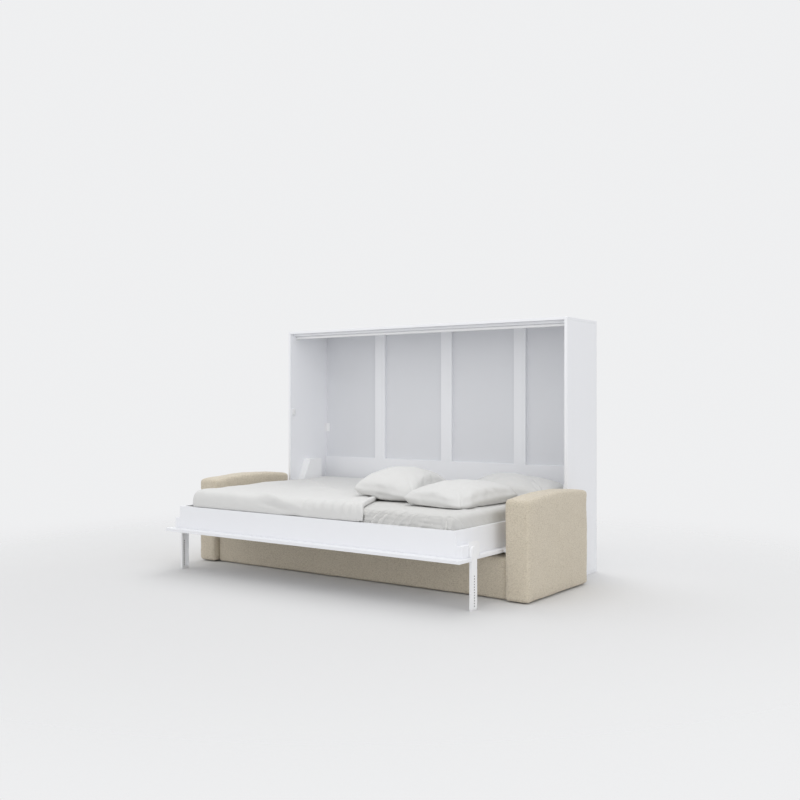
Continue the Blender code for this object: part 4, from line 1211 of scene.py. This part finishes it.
    def _drape(self, side: np.ndarray, front: np.ndarray, low: Vector, high: Vector) -> np.ndarray:
        """Lay the cloth over the mattress's top, round its left and front edges and their corner.

        Args:
            side: run of each point past the left turning line.
            front: run of each point past the front turning line.
            low: the mattress's lowest corner.
            high: the mattress's highest corner.

        Returns:
            The draped places, a row each.
        """
        radius, gap = self.edge_radius, self.clearance
        middle = self.corner_radius - radius
        centre = np.array([low.x - gap + self.corner_radius, low.y - gap + self.corner_radius])
        a, b = side + middle, front + middle
        in_corner = (a > 0) & (b > 0)
        run = np.where(in_corner, np.maximum(a, b), np.where(a > 0, a, b))
        small = np.minimum(a, b) / np.maximum(np.maximum(a, b), 1e-9)
        angle = np.where(a >= b, math.pi / 4 * small, math.pi / 2 - math.pi / 4 * small)
        past = run - middle
        bend = np.clip(past / radius, 0, math.pi / 2)
        reach = np.where(past < 0, run, middle + radius * np.sin(bend))
        drop = radius * (1 - np.cos(bend)) + np.maximum(past - radius * math.pi / 2, 0)
        along_side = np.where(a > 0, reach, a)
        along_front = np.where((b > 0) & (a <= 0), reach, b)
        x = centre[0] - np.where(in_corner, np.cos(angle) * reach, along_side)
        y = centre[1] - np.where(in_corner, np.sin(angle) * reach, along_front)
        drop = np.where((a > 0) | (b > 0), drop, 0)
        return np.stack([x, y, high.z + gap - drop], 1)

    @staticmethod
    def _obstacles() -> list:
        """Copy the mattress and the frame's front and left end for the cloth to lie against.

        Returns:
            The obstacles, each with its collision.
        """
        blocks = []
        for node in ("mattress", "frame_front_rail", "frame_end_left"):
            block = copy_of_node(node, f"obstacle_{node}")
            if node == "mattress":
                mattress = FittedSheet()
                remesh(block, mattress.core_voxel)
                places = read_points(block)
                mattress.draw_in(places)
                write_points(block, places)
            collision = block.modifiers.new("Collision", "COLLISION")
            collision.settings.thickness_outer = 0.002
            collision.settings.cloth_friction = 12.0
            blocks.append(block)
        return blocks

    @staticmethod
    def _shell(under: np.ndarray, over: np.ndarray, faces: np.ndarray, flat: np.ndarray,
               rows: int, columns: int) -> Piece:
        """Close the layer under and the layer over with a rim.

        Args:
            under: places of the layer on the mattress.
            over: places of the layer seen from above, in the same order.
            faces: corners of each face of one layer, seen from above.
            flat: place of each point on the flat cloth.
            rows: rows of points in a layer.
            columns: columns of points in a layer.

        Returns:
            The closed piece.
        """
        count = len(under)
        ring = ([c for c in range(columns)] + [r * columns + columns - 1 for r in range(1, rows)]
                + [(rows - 1) * columns + c for c in range(columns - 2, -1, -1)]
                + [r * columns for r in range(rows - 2, 0, -1)])
        rim = [(a + count, b + count, b, a) for a, b in zip(ring, ring[1:] + ring[:1])]
        every = np.concatenate([faces + count, faces[:, ::-1], np.array(rim)])
        uv = np.concatenate([flat + LOWER_PANEL_UV, flat])
        places = np.concatenate([under, over])
        return new_piece("duvet_cover", places, every.tolist(), uv[every.ravel()])


@dataclass
class Pillow:
    """One filled pillow: two panels sewn round the edge, filled out as cloth, then laid down."""

    node: str
    half_length: float
    half_width: float
    thickness: float
    turn: float
    lift: float = 0.0
    shift: tuple[float, float] = (0.0, 0.0)
    seed: float = 1.0
    step: float = 0.0105
    seam_rise: float = 0.045
    corner_drop: float = 0.034
    fullness: float = 0.60
    shut_share: float = 1.0
    squareness: float = 8.0
    swell_power: float = 2.1
    hollow: float = 0.022
    seam: float = 0.0050
    seam_dip: float = 0.0030
    press: float = 0.008
    hem_softness: float = 0.007
    sheet_rise: float = 0.0015

    def build(self) -> None:
        """Make the pillow in the place of its solid."""
        piece = self._case()
        start = read_points(piece)
        write_points(piece, start + uneven(start, (0.0008, 0.06, self.seed))[:, None])
        ClothRun(frames=16, pressure=1.6, growth=0.045, stiffness=10.0, bending=0.12,
                 cap=0.014).settle(piece)
        self._wrinkle(piece)
        self._lay(piece)
        subdivide(piece)
        smooth(piece)
        seat(piece, "bed", BED_LINEN, self.node)
        if self.shut_share < 1:
            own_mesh(piece)

    def _case(self) -> Piece:
        """Make the filled case: two panels that share their edge, swelling between corners.

        Returns:
            The case, with its seam as a vertex group.
        """
        across = int(round(self.half_length / self.step)) * 2
        down = int(round(self.half_width / self.step)) * 2
        rows, columns = np.meshgrid(np.linspace(-1, 1, down + 1), np.linspace(-1, 1, across + 1),
                                    indexing="ij")
        v, u = rows.ravel(), columns.ravel()
        power = self.squareness
        blunt = (np.abs(u) ** power + np.abs(v) ** power + 1e-12) ** (-1 / power)
        blunt = blunt * np.maximum(np.abs(u), np.abs(v))
        x = u * self.half_length * blunt * (1 - self.hollow * (1 - v * v) * u * u)
        y = v * self.half_width * blunt * (1 - 1.4 * self.hollow * (1 - u * u) * v * v)
        bulge = (1 - np.abs(u) ** self.swell_power) * (1 - np.abs(v) ** self.swell_power)
        swell = bulge ** self.fullness * self.thickness / 2
        rim = (np.abs(u) == 1) | (np.abs(v) == 1)
        upper = np.stack([x, y, swell], 1)
        lower = np.stack([x, y, -swell], 1)[~rim]
        count = len(upper)
        below = np.arange(count)
        below[~rim] = count + np.arange(len(lower))
        faces = grid_faces(down + 1, across + 1)[:, [0, 3, 2, 1]]
        every = np.concatenate([faces, below[faces][:, ::-1]])
        flat = np.stack([u * self.half_length, v * self.half_width], 1)
        uv = np.concatenate([flat[faces.ravel()], flat[faces[:, ::-1].ravel()] + LOWER_PANEL_UV])
        piece = new_piece(self.node + "_case", np.concatenate([upper, lower]), every.tolist(), uv)
        group = piece.vertex_groups.new(name="seam")
        group.add([int(k) for k in np.flatnonzero(rim)], 1.0, "REPLACE")
        return piece

    def _folds(self) -> Iterable[Crease]:
        """Pick the folds that run from the corners into the filling.

        Returns:
            The folds, three at each corner.
        """
        pick = np.random.default_rng(int(self.seed * 100))
        for sign_x in (-1, 1):
            for sign_y in (-1, 1):
                for _ in range(3):
                    begin = (sign_x * self.half_length * pick.uniform(0.70, 0.97),
                             sign_y * self.half_width * pick.uniform(0.70, 0.97))
                    end = (begin[0] - sign_x * self.half_length * pick.uniform(0.25, 0.6),
                           begin[1] - sign_y * self.half_width * pick.uniform(0.2, 0.9))
                    height = pick.choice((-0.0055, 0.0045))
                    yield Crease(begin, end, pick.uniform(0.010, 0.018), height)

    def _wrinkle(self, piece: Piece) -> None:
        """Raise the seam, sink the cloth beside it and press in the corners' folds.

        Args:
            piece: the filled case.
        """
        places = read_points(piece)
        lift = np.zeros(len(places))
        for fold in self._folds():
            lift += fold.lift(places[:, 0], places[:, 1])
        lift += uneven(places, (0.0022, 0.13, self.seed + 3), (0.0009, 0.05, self.seed + 5))
        rim = np.array([len(point.groups) > 0 for point in piece.data.vertices])
        ends = np.zeros(len(piece.data.edges) * 2, np.int32)
        piece.data.edges.foreach_get("vertices", ends)
        ends = ends.reshape(-1, 2)
        beside = np.zeros(len(places), bool)
        for near, far in ((0, 1), (1, 0)):
            beside[ends[rim[ends[:, near]], far]] = True
        lift = np.where(rim, self.seam, lift - self.seam_dip * beside)
        push_out(piece, lift)

    def _lay(self, piece: Piece) -> None:
        """Scale the case to its size, turn it, set it down and press it on what lies under it.

        Args:
            piece: the filled case.
        """
        low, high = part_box(self.node)
        places = read_points(piece)
        places -= (places.max(0) + places.min(0)) / 2
        reach = np.abs(places).max(0)
        places *= np.array([self.half_length, self.half_width, self.thickness / 2]) / reach
        places = places @ np.array(Matrix.Rotation(math.radians(self.turn), 3, "Z")).T
        diagonal = math.hypot(self.half_length, self.half_width)
        toward = (places[:, 0] - places[:, 1]) / (math.sqrt(2) * diagonal)
        places[:, 2] -= self.corner_drop * np.clip(toward, 0, 1) ** 2
        centre = (low + high) / 2
        bed_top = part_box("mattress")[1].z
        places += np.array([centre.x + self.shift[0], centre.y + self.shift[1],
                            bed_top + self.lift + self.seam_rise])
        under = self._support(places, bed_top)
        places[:, 2] = under + self.press * np.logaddexp(0, (places[:, 2] - under) / self.press)
        write_points(piece, places)

    def _support(self, places: np.ndarray, bed_top: float) -> np.ndarray:
        """Give the bed's height under each place: the sheet, or the duvet left of its hem.

        Args:
            places: rows of places.
            bed_top: height of the mattress's top.

        Returns:
            One height for each place.
        """
        duvet_low, duvet_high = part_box("duvet")
        hem = duvet_high.x - Duvet.slant * (places[:, 1] - duvet_low.y)
        share = 1 / (1 + np.exp(np.clip((places[:, 0] - hem) / self.hem_softness, -40, 40)))
        return bed_top + self.sheet_rise + share * (duvet_high.z - bed_top)


PILLOWS = (
    Pillow("pillow_loose", 0.296, 0.207, 0.216, -79.0, lift=0.035, corner_drop=0.060,
           fullness=0.70, shut_share=0.85, seed=1.7),
    Pillow("pillow_front", 0.296, 0.210, 0.184, -95.0, shift=(0.011, 0.008), seed=2.9),
    Pillow("pillow_rear", 0.243, 0.208, 0.204, -53.0, lift=-0.009, fullness=0.66, seed=3.4),
    Pillow("pillow_corner", 0.205, 0.150, 0.170, -4.0, lift=-0.012, shift=(-0.105, -0.035),
           fullness=0.70, seed=4.6))


@dataclass
class RigidParts:
    """Boards, steel and plastic that keep their own nodes, and their finishes by slot."""

    frame: dict
    finishes: tuple[Finish, ...] = (WHITE_LAMINATE, GREY_BACK, WHITE_STEEL, WHITE_PLASTIC,
                                    BRIGHT_STEEL, BLACK_PLASTIC_AND_HOLE_SHADE, BIRCH)

    def build(self) -> None:
        """Dress each rigid node with its slot's finish."""
        by_slot = {finish.slot: finish for finish in self.finishes}
        for row in self.frame["record"]["subparts"]:
            finish = by_slot.get(row["material_slot"])
            if finish is not None:
                dress(self.frame["nodes"][row["node"]], finish)
                LOG.info("%s: %s", row["node"], finish.slot)


@dataclass(frozen=True)
class ScrewRow:
    """Screws or nails of the cabinet that all face the same way."""

    axis: Point
    places: tuple[Point, ...]
    finish: Finish = WHITE_STEEL


@dataclass
class Hardware:
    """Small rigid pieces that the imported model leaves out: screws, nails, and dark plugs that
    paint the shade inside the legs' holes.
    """

    head_radius: float = 0.0042
    head_height: float = 0.0016
    head_spin: float = 23.0
    slot_width: float = 0.0011
    slot_length: float = 0.0050
    slot_depth: float = 0.0009
    hole_shade_radius: float = 0.0034
    hole_shade_depth: float = 0.0023
    lowest_hole: float = 0.024
    hole_pitch: float = 0.01373
    hole_count: int = 12
    sheet: float = 0.002
    bracket_inset: float = 0.015
    latch_inset: float = 0.010
    nail_inset: float = 0.012

    def build(self) -> None:
        """Make the screws and the dark plugs that paint the shade in the legs' holes."""
        for number, row in enumerate(self._rows()):
            self._screws(f"screws_cabinet_{number}", row)
        for side, word in SIDES:
            self._hole_shade_plugs(side, word)

    def _rows(self) -> Iterable[ScrewRow]:
        """List where the screws and nails sit, from the nodes' boxes.

        Returns:
            The rows, in the order of their numbers.
        """
        for side, word in SIDES:
            inward = (-side, 0, 0)
            low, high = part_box(f"corner_bracket_{word}")
            middle = (low.x + high.x) / 2 - side * self.sheet
            flank = (high.x if side > 0 else low.x) - side * self.sheet
            heights = (low.z + self.bracket_inset, high.z - self.bracket_inset)
            yield ScrewRow((0, -1, 0), tuple((middle, high.y - self.sheet, z) for z in heights))
            depth = (low.y + high.y) / 2 - self.sheet
            yield ScrewRow(inward, tuple((flank, depth, z) for z in heights))
            low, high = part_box(f"latch_{word}")
            inner = high.x if side < 0 else low.x
            yield ScrewRow(inward, tuple((inner, (low.y + high.y) / 2, z) for z in
                                         (low.z + self.latch_inset, high.z - self.latch_inset)))
            low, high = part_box(f"mechanism_cover_{word}")
            inner = high.x if side < 0 else low.x
            back, top = high.y - 0.018, high.z - 0.022
            spots = ((back, top), (back, low.z + 0.330), (back, low.z + 0.040),
                     (low.y + 0.145, top), (low.y + 0.024, low.z + 0.040),
                     (low.y + 0.026, low.z + 0.352))
            yield ScrewRow(inward, tuple((inner, y, z) for y, z in spots))
        yield self._nails()

    def _nails(self) -> ScrewRow:
        """Place the nails round the back panel's edge and along its battens.

        Returns:
            The row of nails.
        """
        low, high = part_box("back_panel")
        across = np.linspace(low.x + self.nail_inset, high.x - self.nail_inset, 9)
        up = np.linspace(low.z + self.nail_inset, high.z - self.nail_inset, 5)
        spots = [(x, z) for x in across for z in (up[0], up[-1])]
        spots += [(x, z) for x in across[::2] for z in up[1:-1]]
        places = tuple((float(x), high.y, float(z)) for x, z in spots)
        return ScrewRow((0, 1, 0), places, BRIGHT_STEEL)

    def _head(self) -> Piece:
        """Model one pan head with its cross recess, standing on its face at the origin.

        Returns:
            The head.
        """
        head = turned_piece(self.head_radius, self.head_height, sides=24, edge=0.0006, segments=2,
                            location=(0, 0, self.head_height / 2))
        for turn in (0, math.pi / 2):
            bpy.ops.object.select_all(action="DESELECT")
            bpy.ops.mesh.primitive_cube_add(size=1, location=(0, 0, self.head_height),
                                            rotation=(0, 0, turn))
            cutter = bpy.context.object
            cutter.scale = (self.slot_length, self.slot_width, 2 * self.slot_depth)
            bpy.ops.object.transform_apply(location=True, rotation=True, scale=True)
            apply_modifier(head, "BOOLEAN", object=cutter, operation="DIFFERENCE", solver="EXACT")
            bpy.data.objects.remove(cutter)
        return head

    def _screws(self, name: str, row: ScrewRow) -> None:
        """Copy the screw head to each place of a row.

        Args:
            name: name of the new piece.
            row: the row that is filled.
        """
        turn = Vector((0, 0, 1)).rotation_difference(Vector(row.axis)).to_matrix().to_4x4()
        turn = turn @ Matrix.Rotation(math.radians(self.head_spin), 4, "Z")
        spots = [Matrix.Translation(place) @ turn for place in row.places]
        seat(merge_copies(name, self._head(), spots), "cabinet", row.finish)

    def _hole_shade_plugs(self, side: int, word: str) -> None:
        """Set a dark plug in each hole of a leg, as painted shade where the channel's inside falls
        in shadow.

        Args:
            side: -1 on the left, 1 on the right.
            word: left or right.
        """
        low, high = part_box(f"leg_{word}")
        middle = (high.x if side > 0 else low.x) - side * self.sheet / 2
        # painted shade: dark plugs fill the holes, whose inside in the real leg is only in shadow
        shade_plug = turned_piece(self.hole_shade_radius, self.hole_shade_depth, sides=16, edge=0.0003, segments=2,
                            rotation=(0, math.pi / 2, 0))
        heights = [self.lowest_hole + k * self.hole_pitch for k in range(self.hole_count)]
        spots = [Matrix.Translation((middle, (low.y + high.y) / 2, z)) for z in heights]
        seat(merge_copies(f"leg_hole_shade_{word}", shade_plug, spots), f"{word}_leg", BLACK_PLASTIC_AND_HOLE_SHADE)


@dataclass(frozen=True)
class Lamp:
    """A square soft lamp: its name, place, target, side in metres and power in watts."""

    name: str
    place: Point
    target: Point
    size: float
    power: float

    def build(self) -> None:
        """Hang the lamp and point it at its target."""
        data = bpy.data.lights.new(self.name, "AREA")
        data.shape = "SQUARE"
        data.size = self.size
        data.energy = self.power
        lamp = link(self.name, data)
        lamp.location = self.place
        aim = Vector(self.target) - Vector(self.place)
        lamp.rotation_euler = aim.to_track_quat("-Z", "Y").to_euler()


@dataclass
class Studio:
    """Pale floor and backdrop, plain light, and the camera at the photograph's angle."""

    camera_place: Point = (3.64217, -4.83509, 1.05891)
    turn: float = 0.62462
    rise: float = 0.00140
    lens: float = 43.717
    floor_half: float = 6.0
    fade_start: float = 1.3
    fade_end: float = 4.2
    floor_tone: Colour = (0.722, 0.722, 0.724)
    sky_tone: Colour = (0.985, 0.99, 1.0)
    sky_seen: float = 0.875
    sky_light: float = 0.665
    lamps: tuple[Lamp, ...] = (Lamp("lamp_above", (0.6, -1.6, 4.6), (0.0, 0.2, 0.5), 4.0, 44.0),
                               Lamp("lamp_right", (5.2, -2.2, 2.4), (0.6, 0.0, 0.5), 3.0, 41.0),
                               Lamp("lamp_behind", (-0.6, 2.6, 4.6), (0.0, 0.0, 0.3), 4.0, 105.0),
                               Lamp("lamp_left", (-5.0, -3.0, 2.6), (0.0, 0.0, 0.6), 3.0, 25.0),
                               Lamp("lamp_camera", (2.6, -7.0, 3.0), (0.0, 0.0, 0.6), 3.0, 36.0))

    def build(self) -> None:
        """Make the camera, the floor, the sky and the lamps."""
        self._camera()
        self._floor()
        self._sky()
        for lamp in self.lamps:
            lamp.build()

    def _camera(self) -> None:
        """Set the camera where the photograph's perspective puts it."""
        data = bpy.data.cameras.new("photo_camera")
        data.lens = self.lens
        data.sensor_width = 36.0
        camera = link("photo_camera", data)
        camera.location = self.camera_place
        camera.rotation_euler = (math.pi / 2 + self.rise, 0, self.turn)
        bpy.context.scene.camera = camera
        bpy.context.scene.view_settings.view_transform = "Standard"

    def _floor(self) -> None:
        """Lay the floor, which keeps the object's shadow and fades out into the backdrop."""
        half = self.floor_half
        corners = [(-half, -half, 0), (half, -half, 0), (half, half, 0), (-half, half, 0)]
        floor = new_piece("studio_floor", corners, [(0, 1, 2, 3)])
        made, wires = new_material("studio_floor")
        place = wires.add("ShaderNodeTexCoord").outputs["Object"]
        reach = wires.add("ShaderNodeVectorMath", {0: place}, operation="LENGTH").outputs["Value"]
        ends = {"Value": reach, "From Min": self.fade_start, "From Max": self.fade_end}
        fade = wires.add("ShaderNodeMapRange", ends, interpolation_type="SMOOTHERSTEP")
        solid = wires.add("ShaderNodeBsdfPrincipled", {"Base Color": (*self.floor_tone, 1),
                                                       "Roughness": 0.9})
        clear = wires.add("ShaderNodeBsdfTransparent")
        mixed = wires.add("ShaderNodeMixShader", {0: fade.outputs["Result"], 1: solid.outputs[0],
                                                  2: clear.outputs[0]})
        wires.add("ShaderNodeOutputMaterial", {"Surface": mixed.outputs[0]})
        floor.data.materials.append(made)

    def _sky(self) -> None:
        """Make a pale sky that looks lighter to the camera and in reflections than it lights."""
        world = bpy.data.worlds.new("studio")
        bpy.context.scene.world = world
        world.use_nodes = True
        world.node_tree.nodes.clear()
        wires = Wiring(world.node_tree)
        rays = wires.add("ShaderNodeLightPath").outputs
        seen = wires.math("MAXIMUM", rays["Is Glossy Ray"], rays["Is Transmission Ray"])
        seen = wires.math("MAXIMUM", rays["Is Camera Ray"], seen)
        extra = wires.times(seen, self.sky_seen - self.sky_light)
        strength = wires.math("ADD", extra, self.sky_light)
        tone = (*self.sky_tone, 1)
        sky = wires.add("ShaderNodeBackground", {"Color": tone, "Strength": strength})
        wires.add("ShaderNodeOutputWorld", {"Surface": sky.outputs[0]})


def main() -> None:
    """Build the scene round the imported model."""
    logging.basicConfig(level=logging.INFO, format="%(message)s")
    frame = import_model()
    for part in (Studio(), RigidParts(frame), Sofa(), FittedSheet(), Duvet(), *PILLOWS, Hardware()):
        part.build()


if __name__ == "__main__":
    main()
